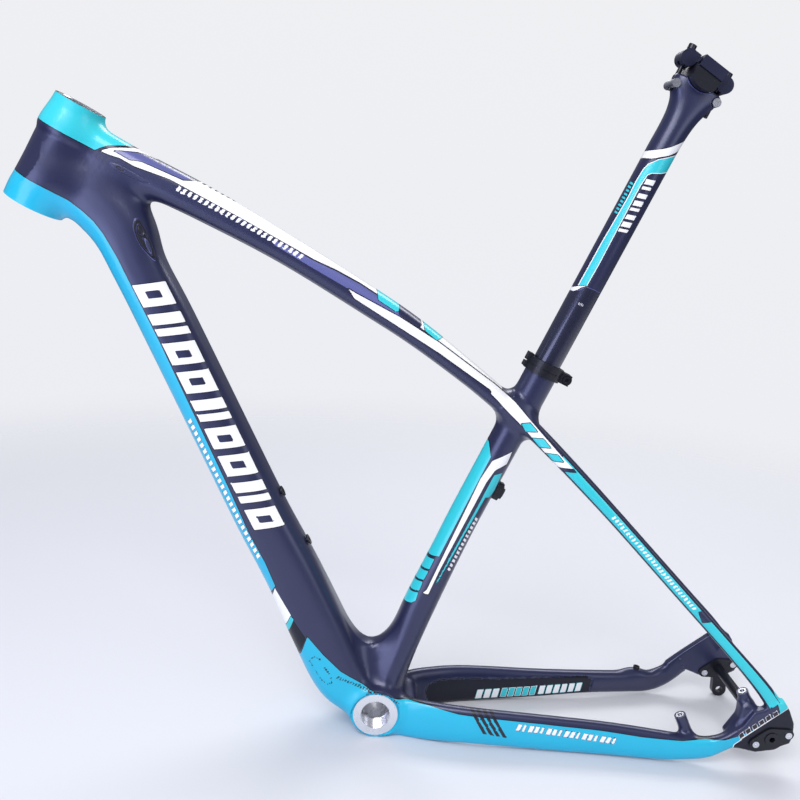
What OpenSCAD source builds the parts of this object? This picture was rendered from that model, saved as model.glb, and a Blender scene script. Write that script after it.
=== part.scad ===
// Hardtail mountain bicycle frame for 29 inch wheels, with its seatpost fitted.
// Riding attitude, +Z up, -X towards the front wheel, +Y towards the chain side (right).
// The origin is the centre of the bottom bracket axis. Names ending in _r are radii.

/* [Frame geometry] */
// Seat tube angle above the horizontal
seat_angle = 73; // [72:0.1:74]
// Distance the seat tube axis passes ahead of the bottom bracket centre
seat_offset = 11; // [9:0.2:13]
// Head tube angle above the horizontal
head_angle = 70; // [69:0.1:71]
// Horizontal distance from the bottom bracket to the top of the head tube
reach = 400; // [395:1:405]
// Height of the top of the head tube above the bottom bracket
stack = 610; // [600:1:620]
// Length of the head tube
head_len = 114; // [110:1:118]
// Horizontal distance from the bottom bracket to the rear axle
rear_x = 436; // [434:1:438]
// Height of the rear axle above the bottom bracket
rear_z = 63; // [60:1:66]

/* [Tubes] */
// Half of the down tube's height in its straight run
down_half_height = 28.5; // [27:0.5:30]
// Half of the down tube's width in its straight run
down_half_width = 27; // [26:0.5:29]
// Half of the top tube's height at its middle
top_half_height = 14; // [13:0.5:16]
// Half of the top tube's width at its middle
top_half_width = 18; // [17:0.5:20]
// Outer radius of the seat tube
seat_tube_r = 17.8; // [17.5:0.1:18.5]
// Wall thickness of the moulded tubes
wall = 1.6; // [1.2:0.1:2.2]

/* [Bottom bracket] */
// Width across the threaded sleeve's faces
bb_width = 73; // [68:1:73]
// Outer radius of the moulded shell around the sleeve
bb_shell_r = 28.5; // [28:0.5:30]
// Radius of the threaded bore
bb_thread_r = 16.9; // [16.7:0.05:17.1]

/* [Head tube bearings] */
// Radius of the upper bearing seat
head_upper_r = 20.9; // [20.8:0.05:21]
// Radius of the lower bearing seat
head_lower_r = 26; // [25.9:0.05:26.1]

/* [Rear end] */
// Distance between the faces the hub stands against
hub_width = 142; // [135:1:148]
// Radius of the axle
axle_r = 6; // [5:0.5:6]
// Distance between the two brake posts
post_gap = 74.2; // [70:0.2:78]

/* [Seatpost] */
// Radius of the seatpost
post_r = 15.45; // [15.3:0.05:15.5]
// Height of the saddle clamp's pivot, along the seat tube from the origin level
pivot_height = 783; // [775:1:790]
// Length of seatpost held inside the seat tube
post_insert = 56; // [50:1:70]
// Distance between the saddle rails
rail_gap = 44; // [43:0.5:45]
// Angle of the saddle clamp from square to the seatpost
clamp_tilt = 8; // [0:1:8]

/* [Hidden] */

gap = 0.05;          // bond line or running gap between fitted pieces
split_gap = 0.03;    // distance of a moulding from the plane where it meets its neighbour
left = -1;           // sign of y on each side of the frame
right = 1;
seat_top = 446;      // top of the seat tube along its axis
head_base = [-reach, 0, stack] - [cos(head_angle), 0, sin(head_angle)] * head_len;
axle = [rear_x, 0, rear_z];
drop_in = hub_width / 2;      // inner face of a dropout, from the middle plane
drop_out = drop_in + 11;      // outer face of a dropout
beyond = 120;                 // y clear of the whole rear end

dark_blue = [0.13, 0.15, 0.23];
light_blue = [0.1, 0.62, 0.86];
plug_black = [0.08, 0.08, 0.1];

// ---- tubes swept through stations ----------------------------------------
// A station is [x, y, z, half height, half width, squareness]; squareness 2 is an ellipse.
curve_steps = 2;     // sections made for each span between stations
function signed_pow(v, e) = v >= 0 ? pow(v, e) : -pow(-v, e);
function unit(v) = v / norm(v);
function xyz(station) = [station[0], station[1], station[2]];
// Catmull-Rom curve from station i to the next, t from 0 to 1
function curve_point(rows, i, t) =
  let (last = len(rows) - 1,
    before = rows[max(i - 1, 0)],
    start = rows[i],
    end = rows[i + 1],
    after = rows[min(i + 2, last)])
  0.5 * (2 * start + (end - before) * t
    + (2 * before - 5 * start + 4 * end - after) * t * t
    + (3 * start - before - 3 * end + after) * t * t * t);
function sample(rows) = concat(
  [for (i = [0:len(rows) - 2], j = [0:curve_steps - 1]) curve_point(rows, i, j / curve_steps)],
  [rows[len(rows) - 1]]);
function tangent(path, i) =
  unit(xyz(path[min(i + 1, len(path) - 1)]) - xyz(path[max(i - 1, 0)]));
// superellipse section square to the tangent, drawn in by inset
function section(station, along, sides, inset) =
  let (across = unit([0, 1, 0] - along * along[1]),
    up = cross(across, along),
    power = 2 / station[5])
  [for (k = [0:sides - 1])
    let (a = 360 * (k + 0.5) / sides)
    xyz(station) + up * (station[3] - inset) * signed_pow(cos(a), power)
      + across * (station[4] - inset) * signed_pow(sin(a), power)];
function sections(path, sides, inset) =
  [for (i = [0:len(path) - 1]) each section(path[i], tangent(path, i), sides, inset)];
function quad(a, b, c, d, flip) = flip ? [[a, c, b], [a, d, c]] : [[a, b, c], [a, c, d]];
// band of faces between two rings of points that start at indices from and to
function band(sides, from, to, flip) = [for (k = [0:sides - 1])
  let (next = (k + 1) % sides)
  each quad(from + k, from + next, to + next, to + k, flip)];
function skin(sides, count, base, flip) = [for (i = [0:count - 2])
  each band(sides, base + i * sides, base + (i + 1) * sides, flip)];
// tube through stations; a wall of 0 makes it solid
module tube(rows, sides, thickness = wall) {
  path = sample(rows);
  count = len(path);
  inner = sides * count;         // index of the first inner point
  last = sides * (count - 1);    // index of the last outer ring
  outer_points = sections(path, sides, 0);
  if (thickness > 0)
    polyhedron(concat(outer_points, sections(path, sides, thickness)),
      concat(skin(sides, count, 0, true), skin(sides, count, inner, false),
        band(sides, 0, inner, false), band(sides, last, last + inner, true)),
      convexity = 6);
  else
    polyhedron(outer_points,
      concat(skin(sides, count, 0, true), [[for (k = [0:sides - 1]) k]],
        [[for (k = [sides - 1:-1:0]) last + k]]),
      convexity = 4);
}

// ---- placing and cutting -------------------------------------------------
module along_seat() translate([-seat_offset, 0, 0]) rotate([0, 90 - seat_angle, 0]) children();
module along_head() translate(head_base) rotate([0, 90 - head_angle, 0]) children();
// turns +Z to a direction in the XZ plane
module facing(dir) rotate([0, atan2(dir[0], dir[2]), 0]) children();
// half space bounded at a point, solid towards the normal, square to the XZ plane
module half_space(point, normal)
  translate(point) facing(normal) translate([-400, -150, 0]) cube([800, 300, 400]);
// the left side's shape, mirrored if the side is right
module on_side(side) mirror([0, side > 0 ? 1 : 0, 0]) children();
module rod_y(r, y0, y1, sides = 48)
  translate([0, min(y0, y1), 0]) rotate([-90, 0, 0])
    cylinder(r = r, h = abs(y1 - y0), $fn = sides);
// extrudes an outline drawn in x and z
module extrude_y(y0, y1)
  translate([0, y1, 0]) rotate([90, 0, 0]) linear_extrude(height = y1 - y0) children();

// ---- mitres and splits ---------------------------------------------------
// outside of the head tube, [radius, height]: a cup at each bearing, a tapering barrel between
head_profile = [[30.2, 0], [30.4, 14], [29.6, 24], [28.2, head_len - 46], [28, head_len - 40],
  [30.2, head_len - 34], [30, head_len - 27], [27, head_len - 9], [26.2, head_len - 2],
  [26.2, head_len]];
function grown_height(h) = h == 0 ? -gap : (h == head_len ? head_len + gap : h);
module head_mitre() along_head() rotate_extrude($fn = 72)
  polygon(concat([[0, -gap]],
    [for (q = head_profile) [q[0] + gap, grown_height(q[1])]],
    [[0, head_len + gap]]));
module seat_mitre() along_seat() cylinder(r = seat_tube_r + gap, h = seat_top, $fn = 64);
bb_shell_half = bb_width / 2 - 1;   // half width of the moulded shell under the sleeve's flanges
module bb_outer(grow = 0)
  rod_y(bb_shell_r + grow, -bb_shell_half - grow, bb_shell_half + grow, 72);
// plane between the top tube (above) and the down tube (below), behind the head tube
crotch_point = [-324, 0, 530];
crotch_normal = unit([40, 0, 95]);
// plane between the down tube (in front) and the seat tube and stays (behind)
low_point = [-13, 0, 80];
low_normal = unit([86, 0, 20]);

// ---- head tube and bearing seats -----------------------------------------
upper_cup_r = 23.1;
upper_cup_depth = 10;
lower_cup_r = 28.1;
lower_cup_depth = 14;
cup_gap = 0.1;       // around and behind each bearing seat
seat_chamfer = 0.6;
module head_tube() color([0.16, 0.17, 0.24]) along_head() rotate_extrude($fn = 72)
  polygon(concat([[lower_cup_r, 0]], head_profile,
    [[upper_cup_r, head_len], [upper_cup_r, head_len - upper_cup_depth],
     [19.5, head_len - upper_cup_depth], [19.5, head_len - 40],
     [24.5, lower_cup_depth], [lower_cup_r, lower_cup_depth]]));
module headset_seat_upper() {
  height = upper_cup_depth - cup_gap;
  outer = upper_cup_r - cup_gap;
  lip = head_upper_r - 1.4;
  color("silver") along_head() translate([0, 0, head_len - height]) rotate_extrude($fn = 72)
    polygon([[lip, 0], [outer, 0], [outer, height], [head_upper_r + seat_chamfer, height],
      [head_upper_r, height - seat_chamfer], [head_upper_r, 2], [lip, 2]]);
}
module headset_seat_lower() {
  height = lower_cup_depth - cup_gap;
  outer = lower_cup_r - cup_gap;
  lip = head_lower_r - 1.5;
  color("silver") along_head() rotate_extrude($fn = 72)
    polygon([[head_lower_r + seat_chamfer, 0], [outer, 0], [outer, height], [lip, height],
      [lip, 11.5], [head_lower_r, 11.5], [head_lower_r, seat_chamfer]]);
}

// ---- main tubes ----------------------------------------------------------
// stations from the head tube to the seat tube
top_rows = [[-404, 0, 582, 18.5, 20, 2.6], [-345, 0, 558, 19.5, 22, 2.7],
  [-265, 0, 533, 18, 21, 2.7], [-176, 0, 501, 15.4, 19.5, 2.7],
  [-75, 0, 459.5, top_half_height, top_half_width, 2.7], [-20, 0, 434, 13, 17.5, 2.6],
  [76, 0, 379, 12.4, 16.5, 2.5], [102, 0, 363, 12.4, 16, 2.4]];
module top_tube() color([0.92, 0.93, 0.95]) difference() {
  tube(top_rows, 20);
  head_mitre();
  seat_mitre();
  half_space(crotch_point + crotch_normal * split_gap, -crotch_normal);
  port_seats(top_port);
}
// stations from the head tube to the bottom bracket
down_rows = [[-427, 0, 534, 24, 22, 2.5], [-381.5, 0, 525.5, 32, 25, 2.7],
  [-348, 0, 498, 31.5, 26, 2.8], [-324, 0, 457, 27.5, down_half_width - 0.5, 2.9],
  [-288, 0, 403, down_half_height - 0.3, down_half_width, 2.9],
  [-205, 0, 274, down_half_height + 0.8, down_half_width, 2.9],
  [-161.8, 0, 208.4, down_half_height + 1, down_half_width + 0.5, 2.9],
  [-118.3, 0, 144.7, down_half_height + 2.5, down_half_width + 2, 2.9],
  [-77.8, 0, 81.5, 32, 31.5, 3.1], [-43, 0, 29.5, 31.5, 34, 3.3], [-6, 0, 3, 25, 34, 3.4]];
module down_tube() color([0.12, 0.14, 0.22]) difference() {
  tube(down_rows, 24);
  head_mitre();
  bb_outer(gap);
  half_space(crotch_point - crotch_normal * split_gap, crotch_normal);
  half_space(low_point - low_normal * split_gap, low_normal);
  port_seats(down_port);
  at_rivnuts() {
    cylinder(r = 3.6, h = 12, center = true, $fn = 32);
    translate([0, 0, 0.55]) cylinder(r = rivnut_flange_r + gap, h = 6, $fn = 40);
  }
}
module seat_tube() color(dark_blue) difference() {
  along_seat() cylinder(r = seat_tube_r, h = seat_top, $fn = 64);
  along_seat() translate([0, 0, 60]) cylinder(r = post_r + gap, h = seat_top, $fn = 64);
  bb_outer(gap);
  half_space(low_point + low_normal * split_gap, -low_normal);
  // relief slot at the top of the tube, on its rear side
  along_seat() translate([10, 0, seat_top - 30]) {
    translate([0, -1, 0]) cube([20, 2, 40]);
    rotate([0, 90, 0]) cylinder(r = 2.5, h = 20, $fn = 32);
  }
  along_stop() at_stop_screws() translate([0, 0, 14])
    cylinder(r = stop_screw_r + gap, h = 12, $fn = 32);
}

// ---- bottom bracket ------------------------------------------------------
sleeve_r = 20;
module bb_shell() color(light_blue) difference() {
  bb_outer(0);
  rod_y(sleeve_r + gap, -60, 60, 64);
}
module bb_sleeve() color([0.82, 0.84, 0.86]) difference() {
  union() {
    rod_y(sleeve_r, -bb_shell_half, bb_shell_half, 64);
    for (s = [-1, 1]) rod_y(25.5, s * bb_shell_half, s * bb_width / 2, 64);
  }
  rod_y(15.4, -60, 60, 64);
  for (s = [-1, 1]) rod_y(bb_thread_r, s * 17, s * 60, 64);
}

// ---- stays ---------------------------------------------------------------
stay_wall = 1.5;
// stations of the left side from front to rear; the right side is mirrored
chain_rows_left = [[2, -25, -4, 21.5, 9.5, 2.6], [30, -27, -2, 23.5, 9.5, 2.7],
  [62, -37, 3.5, 22.5, 9, 2.7], [110, -47, 10.5, 20, 8.6, 2.7],
  [200, -54, 18.2, 17.2, 8.6, 2.7], [262, -60, 24.6, 15, 8.6, 2.6],
  [320, -68, 30.6, 13, 8.6, 2.6], [347, -71, 34, 12, 9, 2.6], [368, -74, 39, 10.5, 8, 2.6],
  [386, -76.2, 48, 9, 5.4, 2.6], [400, -76.2, 58, 9, 5.2, 2.6]];
// the right chainstay is deeper and sweeps up to its seatstay
chain_rows_right = [chain_rows_left[0], chain_rows_left[1],
  [62, -37, 2, 24.5, 9, 2.7], [110, -47, 6.5, 24, 8.6, 2.7],
  [200, -54, 15.5, 19.5, 8.6, 2.7], [262, -60, 24, 15.7, 8.6, 2.6],
  chain_rows_left[6],
  [347, -72, 35, 11.6, 9, 2.6], [368, -75.8, 45.5, 11, 6.8, 2.6],
  [384, -78, 60, 10, 4.9, 2.6]];
seatstay_rows = [[98, -9, 367, 10.5, 6, 2.4], [120, -21, 351, 8.5, 7.2, 2.4],
  [160, -38, 322, 7.6, 6.8, 2.5], [220, -48, 276, 7, 6.4, 2.6], [300, -57, 212, 7, 6.4, 2.6],
  [370, -67, 156, 7, 6.2, 2.6], [412, -75, 121, 8, 5.4, 2.5], [434, -76.2, 99, 9, 5.2, 2.5]];

// Flat plate that carries the axle and joins the two stays: outline in [x, z] from the
// axle, then distances of its inner and outer faces from the middle plane.
plate_left = [[-62, -30], [-42, -17], [-13, -20], [5, -15], [14, -9], [23, -4], [25, 5],
  [22, 21], [13, 36], [4, 46], [-7, 42], [-14, 34], [-26, 28], [-34, 10], [-46, -4], [-62, -14]];
plate_right = [[-66, -26], [-46, -8], [-20, -15], [0, -15], [13, -9], [23, -2], [25, 6],
  [21, 22], [12, 36], [4, 46], [-12, 52], [-30, 34], [-50, 14], [-66, -4]];
faces_left = [drop_in, drop_out - 0.5];
faces_right = [drop_in + 2, drop_out + 0.5];
module end_plate(side) translate(axle) {
  if (side == left)
    extrude_y(-faces_left[1], -faces_left[0]) offset(delta = 0) polygon(plate_left);
  else
    extrude_y(faces_right[0], faces_right[1]) offset(delta = 0) polygon(plate_right);
}
// The two stays of a side meet on a sloping plane above the axle; dir is 1 for the part
// above it, -1 for the part below. The right chainstay keeps the whole front of its plate.
module plate_part(side, dir) intersection() {
  end_plate(side);
  half_space(axle + [0, 0, 19 + dir * split_gap], dir * unit([0.6 * side, 0, 1]));
}

dropout_boss_r = 11;
screw_offset = [17, 0, 8];    // dropout screws, either way from the axle
screw_r = 2.05;
module at_dropout_screws() for (s = [-1, 1]) translate(s * screw_offset) children();
module screw_holes(y0, y1) at_dropout_screws() rod_y(screw_r + gap, y0, y1, 32);
module dropout_cuts(side) translate(axle) {
  rod_y(dropout_boss_r + gap, side * (drop_in - 5), side * (drop_out + 5));
  screw_holes(side * (drop_in - 5), side * (drop_out + 5));
}

// children are further cuts; the trim plane ends the hollow tube ahead of the axle
module chainstay(side, rows, trim_offset, trim_normal) difference() {
  union() {
    difference() {
      on_side(side) tube(rows, 16, stay_wall);
      end_plate(side);
      half_space(axle + trim_offset, trim_normal);
    }
    plate_part(side, -1);
  }
  rod_y(bb_shell_r + gap, -60, 60, 72);
  seat_mitre();
  half_space(low_point, -low_normal);
  dropout_cuts(side);
  children();
}
module chainstay_left() color(light_blue)
  chainstay(left, chain_rows_left, [-40, 0, 0], [1, 0, 0.2]) brake_post_cuts();
module chainstay_right() color(dark_blue)
  chainstay(right, chain_rows_right, [-58, 0, -7], [1, 0, 0.8])
    translate(chainstay_port) cylinder(r = chainstay_plug_r + gap, h = 30, center = true, $fn = 32);
module seatstay(side) difference() {
  union() {
    difference() {
      on_side(side) difference() {
        tube(seatstay_rows, 16, stay_wall);
        half_space(axle + [0, 0, 40], unit([-0.3, 0, -1]));
      }
      end_plate(side);
    }
    plate_part(side, 1);
  }
  seat_mitre();
  children();
}
module seatstay_left() color([0.1, 0.62, 0.8]) seatstay(left) brake_post_cuts();
module seatstay_right() color(dark_blue) seatstay(right) dropout_cuts(right);

// ---- dropouts and axle ---------------------------------------------------
module flange_outline() hull() {
  translate([screw_offset[0], screw_offset[2]]) circle(r = 6.5, $fn = 32);
  circle(r = 13, $fn = 40);
  translate([-screw_offset[0], -screw_offset[2]]) circle(r = 6.5, $fn = 32);
}
module dropout_left() color([0.1, 0.1, 0.12]) translate(axle) difference() {
  union() {
    rod_y(dropout_boss_r, -drop_out - 1.5, -drop_in);
    extrude_y(-faces_left[1] - 2, -faces_left[1]) flange_outline();
  }
  rod_y(axle_r + gap, -beyond, 0);
  rod_y(axle_head_r + 0.1, -beyond, -drop_out + 2.5);
  screw_holes(-beyond, 0);
}
hanger_hole = [8, -29];       // x and z from the axle
module hanger_tail() hull() {
  translate(hanger_hole) circle(r = 9, $fn = 40);
  translate([4, -10]) circle(r = 8, $fn = 32);
}
module derailleur_hanger() color([0.12, 0.12, 0.14]) translate(axle) difference() {
  union() {
    rod_y(dropout_boss_r, drop_in, drop_out + 0.5);
    extrude_y(drop_in, faces_right[0] - gap) union() {
      flange_outline();
      hanger_tail();
    }
    // the tail is thicker below the end plate
    extrude_y(drop_in, drop_in + 8) difference() {
      hanger_tail();
      translate([-60, -15.1]) square([120, 90]);
    }
  }
  rod_y(axle_r + gap, 0, beyond);
  translate([hanger_hole[0], 0, hanger_hole[1]]) rod_y(4.5, 0, beyond, 40);
  screw_holes(0, beyond);
}
// heads lie on the left dropout's outer face and on the hanger's inner face
module dropout_screws() color([0.75, 0.76, 0.78]) for (side = [left, right])
  translate(axle + [0, side > 0 ? drop_in + drop_out + 1.5 : 0, 0]) at_dropout_screws()
    difference() {
      union() {
        rod_y(screw_r, -drop_out - 1.6, -drop_in, 32);
        rod_y(3.8, -drop_out - 3.2, -drop_out - 1.55, 40);
      }
      translate([0, -drop_out - 1.9, 0]) rotate([90, 0, 0]) cylinder(r = 1.4, h = 4, $fn = 6);
    }
axle_head_r = 8;
module thru_axle() color([0.2, 0.2, 0.22]) translate(axle) difference() {
  union() {
    rod_y(axle_r, -drop_out + 1, drop_out - 1);
    rod_y(axle_head_r, -drop_out - 2.5, -drop_out + 2.5 - gap);
  }
  rod_y(3.4, -drop_out + 8, beyond, 32);
  translate([0, -drop_out + 6, 0]) rotate([90, 0, 0]) cylinder(r = 3.5, h = 20, $fn = 6);
}

// ---- brake mount ---------------------------------------------------------
brake_along = [0.848, 0, 0.530];                    // from the front post to the rear one
brake_up = [-brake_along[2], 0, brake_along[0]];    // direction the posts point
brake_y = -63;
brake_front = [336.2, brake_y, 66.6];               // top centre of the front post
brake_post_r = 6.5;
brake_insert_r = 4.5;
module at_brake_post(i)
  translate(brake_front + brake_along * post_gap * i) facing(brake_up) children();
module at_brake_posts() for (i = [0, 1]) at_brake_post(i) children();
module brake_post_cuts() at_brake_posts() translate([0, 0, -40])
  cylinder(r = brake_post_r + gap, h = 45, $fn = 40);
// the rear post stands on a foot against the left end plate
module brake_posts() color([0.12, 0.13, 0.18]) difference() {
  foot_y = -(drop_in - gap) - brake_y;
  union() {
    at_brake_post(0) translate([0, 0, -38]) cylinder(r = brake_post_r, h = 38, $fn = 40);
    at_brake_post(1) translate([0, 0, -34]) cylinder(r = brake_post_r, h = 34, $fn = 40);
    at_brake_post(1) translate([-6, foot_y, -34]) cube([12, 2 - foot_y, 22]);
  }
  at_brake_posts() translate([0, 0, -18]) cylinder(r = brake_insert_r + gap, h = 30, $fn = 32);
  // clears the foot from the chainstay, but leaves the posts running into it
  difference() {
    tube(chain_rows_left, 16, 0);
    brake_post_cuts();
  }
}
module brake_post_inserts() color("silver") at_brake_posts() difference() {
  translate([0, 0, -17.9]) cylinder(r = brake_insert_r, h = 18.3, $fn = 32);
  translate([0, 0, -16]) cylinder(r = 2.55, h = 30, $fn = 32);
}

// ---- cable stop, behind the seat tube ------------------------------------
stop_height = 294;   // along the seat tube
stop_screw_r = 1.6;
guide_x = 24.5;      // cable's distance from the seat tube axis
module along_stop() along_seat() translate([0, 0, stop_height]) children();
// turns +Z to point rearwards out of the seat tube
module at_stop_screws() for (z = [-6, 6]) translate([0, 0, z]) rotate([0, 90, 0]) children();
module cable_stop() color([0.1, 0.1, 0.11]) along_stop() difference() {
  union() {
    intersection() {
      difference() {
        translate([10, -6, -11]) cube([14, 12, 22]);
        cylinder(r = seat_tube_r + gap, h = 60, center = true, $fn = 64);
      }
      translate([10, 0, 0]) rotate([0, 90, 0]) hull() {
        for (x = [-5, 5]) translate([x, 0, 0]) cylinder(r = 6, h = 14, $fn = 32);
      }
    }
    translate([guide_x, 0, -7]) cylinder(r = 4, h = 13, $fn = 32);
  }
  at_stop_screws() {
    translate([0, 0, 14]) cylinder(r = stop_screw_r + gap, h = 6, $fn = 32);
    translate([0, 0, 20]) cylinder(r = 3.1, h = 12, $fn = 32);
  }
  translate([guide_x, 0, -20]) cylinder(r = 1.2, h = 50, $fn = 24);
  translate([guide_x, 0, 1]) cylinder(r = 2.6, h = 10, $fn = 24);
}
module cable_stop_screws() color("silver") along_stop() at_stop_screws() difference() {
  union() {
    translate([0, 0, 15.8]) cylinder(r = stop_screw_r, h = 4.4, $fn = 32);
    translate([0, 0, 20.05]) cylinder(r = 2.9, h = 2, $fn = 32);
  }
  translate([0, 0, 20.9]) cylinder(r = 1.2, h = 4, $fn = 6);
}

// ---- port plugs and bottle mounts ----------------------------------------
// ports through both sides of a tube: [x, z, distance from the middle plane, radius]
down_port = [-320, 489, 25.6, 8];
top_port = [-342, 549, 20.8, 6];
module port_seats(port) translate([port[0], 0, port[1]]) for (s = [-1, 1])
  rod_y(port[3] + gap, s * (port[2] - 8), s * (port[2] + 8), 40);
module cable_port_plugs() color(plug_black) for (port = [down_port, top_port])
  for (side = [left, right]) translate([port[0], 0, port[1]]) on_side(side) difference() {
    rod_y(port[3], -port[2] - 1, -port[2] + 3, 40);
    translate([port[3] * -0.2, 0, port[3] * 0.2]) rod_y(2.5, -60, 0, 24);
  }
chainstay_port = [330, 70, 48];
chainstay_plug_r = 4;
module chainstay_port_plug() color(plug_black) translate(chainstay_port) difference() {
  translate([0, 0, -3]) cylinder(r = chainstay_plug_r, h = 6, $fn = 32);
  cylinder(r = 2.4, h = 20, center = true, $fn = 24);
}
// line of the down tube's straight run, running down and rearwards
run_start = [-205, 0, 274];
run_end = [-115, 0, 147];
run_dir = unit(run_end - run_start);
run_up = [-run_dir[2], 0, run_dir[0]];
rivnut_low = run_end - run_dir * 26 + run_up * (down_half_height - 0.6);
rivnut_pitch = 64;
rivnut_flange_r = 6;
module at_rivnuts() for (i = [0, 1])
  translate(rivnut_low - run_dir * rivnut_pitch * i) facing(run_up) children();
module bottle_rivnuts() color([0.15, 0.15, 0.16]) at_rivnuts() difference() {
  union() {
    translate([0, 0, -11]) cylinder(r = 3.5, h = 12, $fn = 32);
    translate([0, 0, 0.6]) cylinder(r = rivnut_flange_r, h = 1.4, $fn = 40);
  }
  translate([0, 0, -20]) cylinder(r = 2.1, h = 40, $fn = 32);
}

// ---- seat clamp ----------------------------------------------------------
clamp_height = 15;
clamp_base = seat_top - clamp_height + 1.5;
clamp_nut_r = 4;
module along_clamp() along_seat() translate([0, 0, clamp_base]) children();
module at_clamp_bolt() translate([26.5, 0, clamp_height / 2]) children();
module seat_clamp() color([0.09, 0.09, 0.1]) along_clamp() difference() {
  union() {
    cylinder(r = 21.2, h = clamp_height, $fn = 64);
    // ears behind, then the block in front
    translate([14, -9, 1.5]) cube([17, 18, clamp_height - 3]);
    at_clamp_bolt() rod_y(6, -9, 9, 40);
    translate([-23.4, -6, 1]) cube([6, 12, clamp_height + 1]);
  }
  translate([0, 0, -1]) cylinder(r = seat_tube_r + gap, h = clamp_height - 0.5, $fn = 64);
  translate([0, 0, -1]) cylinder(r = 16.4, h = clamp_height + 10, $fn = 64);
  translate([10, -1.2, -5]) cube([30, 2.4, 40]);
  at_clamp_bolt() {
    rod_y(2.6, -20, 20, 32);
    rod_y(4.6, -20, -5, 40);
    rod_y(clamp_nut_r + gap, 4.5, 20, 40);
  }
  // groove around the outside, stopping short of the ears
  difference() {
    translate([0, 0, clamp_height / 2 - 0.8]) cylinder(r = 30, h = 1.6, $fn = 64);
    translate([0, 0, -5]) cylinder(r = 20.4, h = 40, $fn = 64);
    translate([12, -20, -5]) cube([40, 40, 40]);
  }
}
module seat_clamp_bolt() color([0.3, 0.3, 0.32]) along_clamp() at_clamp_bolt() difference() {
  union() {
    rod_y(2.5, -6, 8.5, 32);
    rod_y(4.4, -10, -5 - gap, 40);
  }
  translate([0, -7.5, 0]) rotate([90, 0, 0]) cylinder(r = 2.3, h = 6, $fn = 6);
}
module seat_clamp_nut() color([0.6, 0.6, 0.62]) along_clamp() at_clamp_bolt() difference() {
  rod_y(clamp_nut_r, 4.5 + gap, 9, 40);
  rod_y(2.55, -20, 20, 32);
}

// ---- seatpost and saddle clamp -------------------------------------------
post_bottom = seat_top - post_insert;
post_head = 700;     // where the round post ends, along the seat tube
// stations along the seatpost's own axis
post_head_rows = [[0, 0, post_head, post_r, post_r, 2], [0.6, 0, 722, 15.8, 15.3, 2.1],
  [1.4, 0, 736, 17, 15, 2.3], [1.8, 0, 748, 20.5, 14.6, 2.5], [1.4, 0, 757, 25.6, 14.4, 2.7],
  [1, 0, 765, 27.6, 14.2, 2.8], [0.8, 0, 772, 27, 14, 2.8]];
cradle_r = 21;       // radius of the cradle's underside
bolt_x = 23.5;       // distance of each clamp bolt from the pivot
barrel_nut_r = 4.5;
// height of a barrel nut from the pivot; i is -1 for the front one, 1 for the rear one
function nut_z(i) = i < 0 ? -24.5 : -22.5;
module at_pivot(tilt = clamp_tilt)
  along_seat() translate([0, 0, pivot_height]) rotate([0, tilt, 0]) children();
module at_saddle_bolt(i, z = 0) at_pivot(0) translate([i * bolt_x, 0, z]) children();
module seatpost() color([0.14, 0.16, 0.25]) difference() {
  along_seat() union() {
    translate([0, 0, post_bottom])
      cylinder(r = post_r, h = post_head + 0.01 - post_bottom, $fn = 64);
    tube(post_head_rows, 24, 0);
  }
  along_seat() translate([0, 0, post_bottom - 1])
    cylinder(r = 13, h = post_head - 10 - post_bottom, $fn = 64);
  at_pivot(0) rod_y(cradle_r + gap, -40, 40, 64);
  // the horns' tops, lower behind than in front
  at_pivot(0) translate([-40, -40, -13.4]) cube([60, 80, 60]);
  at_pivot(0) translate([0, -40, -14.8]) cube([60, 80, 60]);
  for (i = [-1, 1]) {
    at_saddle_bolt(i, -50) cylinder(r = 2.9, h = 60, $fn = 32);
    at_saddle_bolt(i, nut_z(i)) rod_y(barrel_nut_r + gap, -40, 40, 32);
  }
}
module rails() for (s = [-1, 1]) translate([-40, s * rail_gap / 2, 0]) rotate([0, 90, 0])
  cylinder(r = 3.5, h = 80, $fn = 40);
module saddle_cradle() color([0.05, 0.06, 0.08]) at_pivot() difference() {
  intersection() {
    rod_y(cradle_r, -26, 26, 64);
    translate([-14.2, -26, -30]) cube([28.4, 52, 29.4]);
  }
  rails();
}
module saddle_clamp_top() color([0.1, 0.12, 0.18]) at_pivot() difference() {
  union() {
    translate([-14.6, -28, 0.6]) cube([29.2, 56, 6.2]);
    // lips down the cradle's ends
    for (y = [-28, 26.1]) translate([-14.2, y, -4.6]) cube([28.4, 1.9, 6]);
    // rounded bolt seats, joined to the plate
    for (i = [-1, 1]) translate([i * (bolt_x + 0.1), 0, 0.2]) rod_y(8.6, -11, 11);
    for (x = [-24, 14.6]) translate([x, -11, 0.6]) cube([9.4, 22, 8]);
  }
  rails();
  for (i = [-1, 1]) translate([i * bolt_x - 5.4, -2.9, -20]) cube([10.8, 5.8, 40]);
}
// under_head is the height of the underside of the bolt's head above the pivot
module saddle_bolt(i, under_head) at_saddle_bolt(i, under_head) difference() {
  union() {
    translate([0, 0, -44]) cylinder(r = 2.5, h = 45, $fn = 32);
    cylinder(r = 4.3, h = 5, $fn = 40);
  }
  translate([0, 0, 2.4]) cylinder(r = 2.3, h = 5, $fn = 6);
}
module saddle_bolt_front() color("silver") saddle_bolt(-1, 13.1);
module saddle_bolt_rear() color("silver") saddle_bolt(1, 6.6);
module saddle_clamp_nuts() color("silver") for (i = [-1, 1]) at_saddle_bolt(i, nut_z(i))
  difference() {
    rod_y(barrel_nut_r, -14, 14, 32);
    translate([0, 0, -10]) cylinder(r = 2.55, h = 20, $fn = 32);
  }

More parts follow.
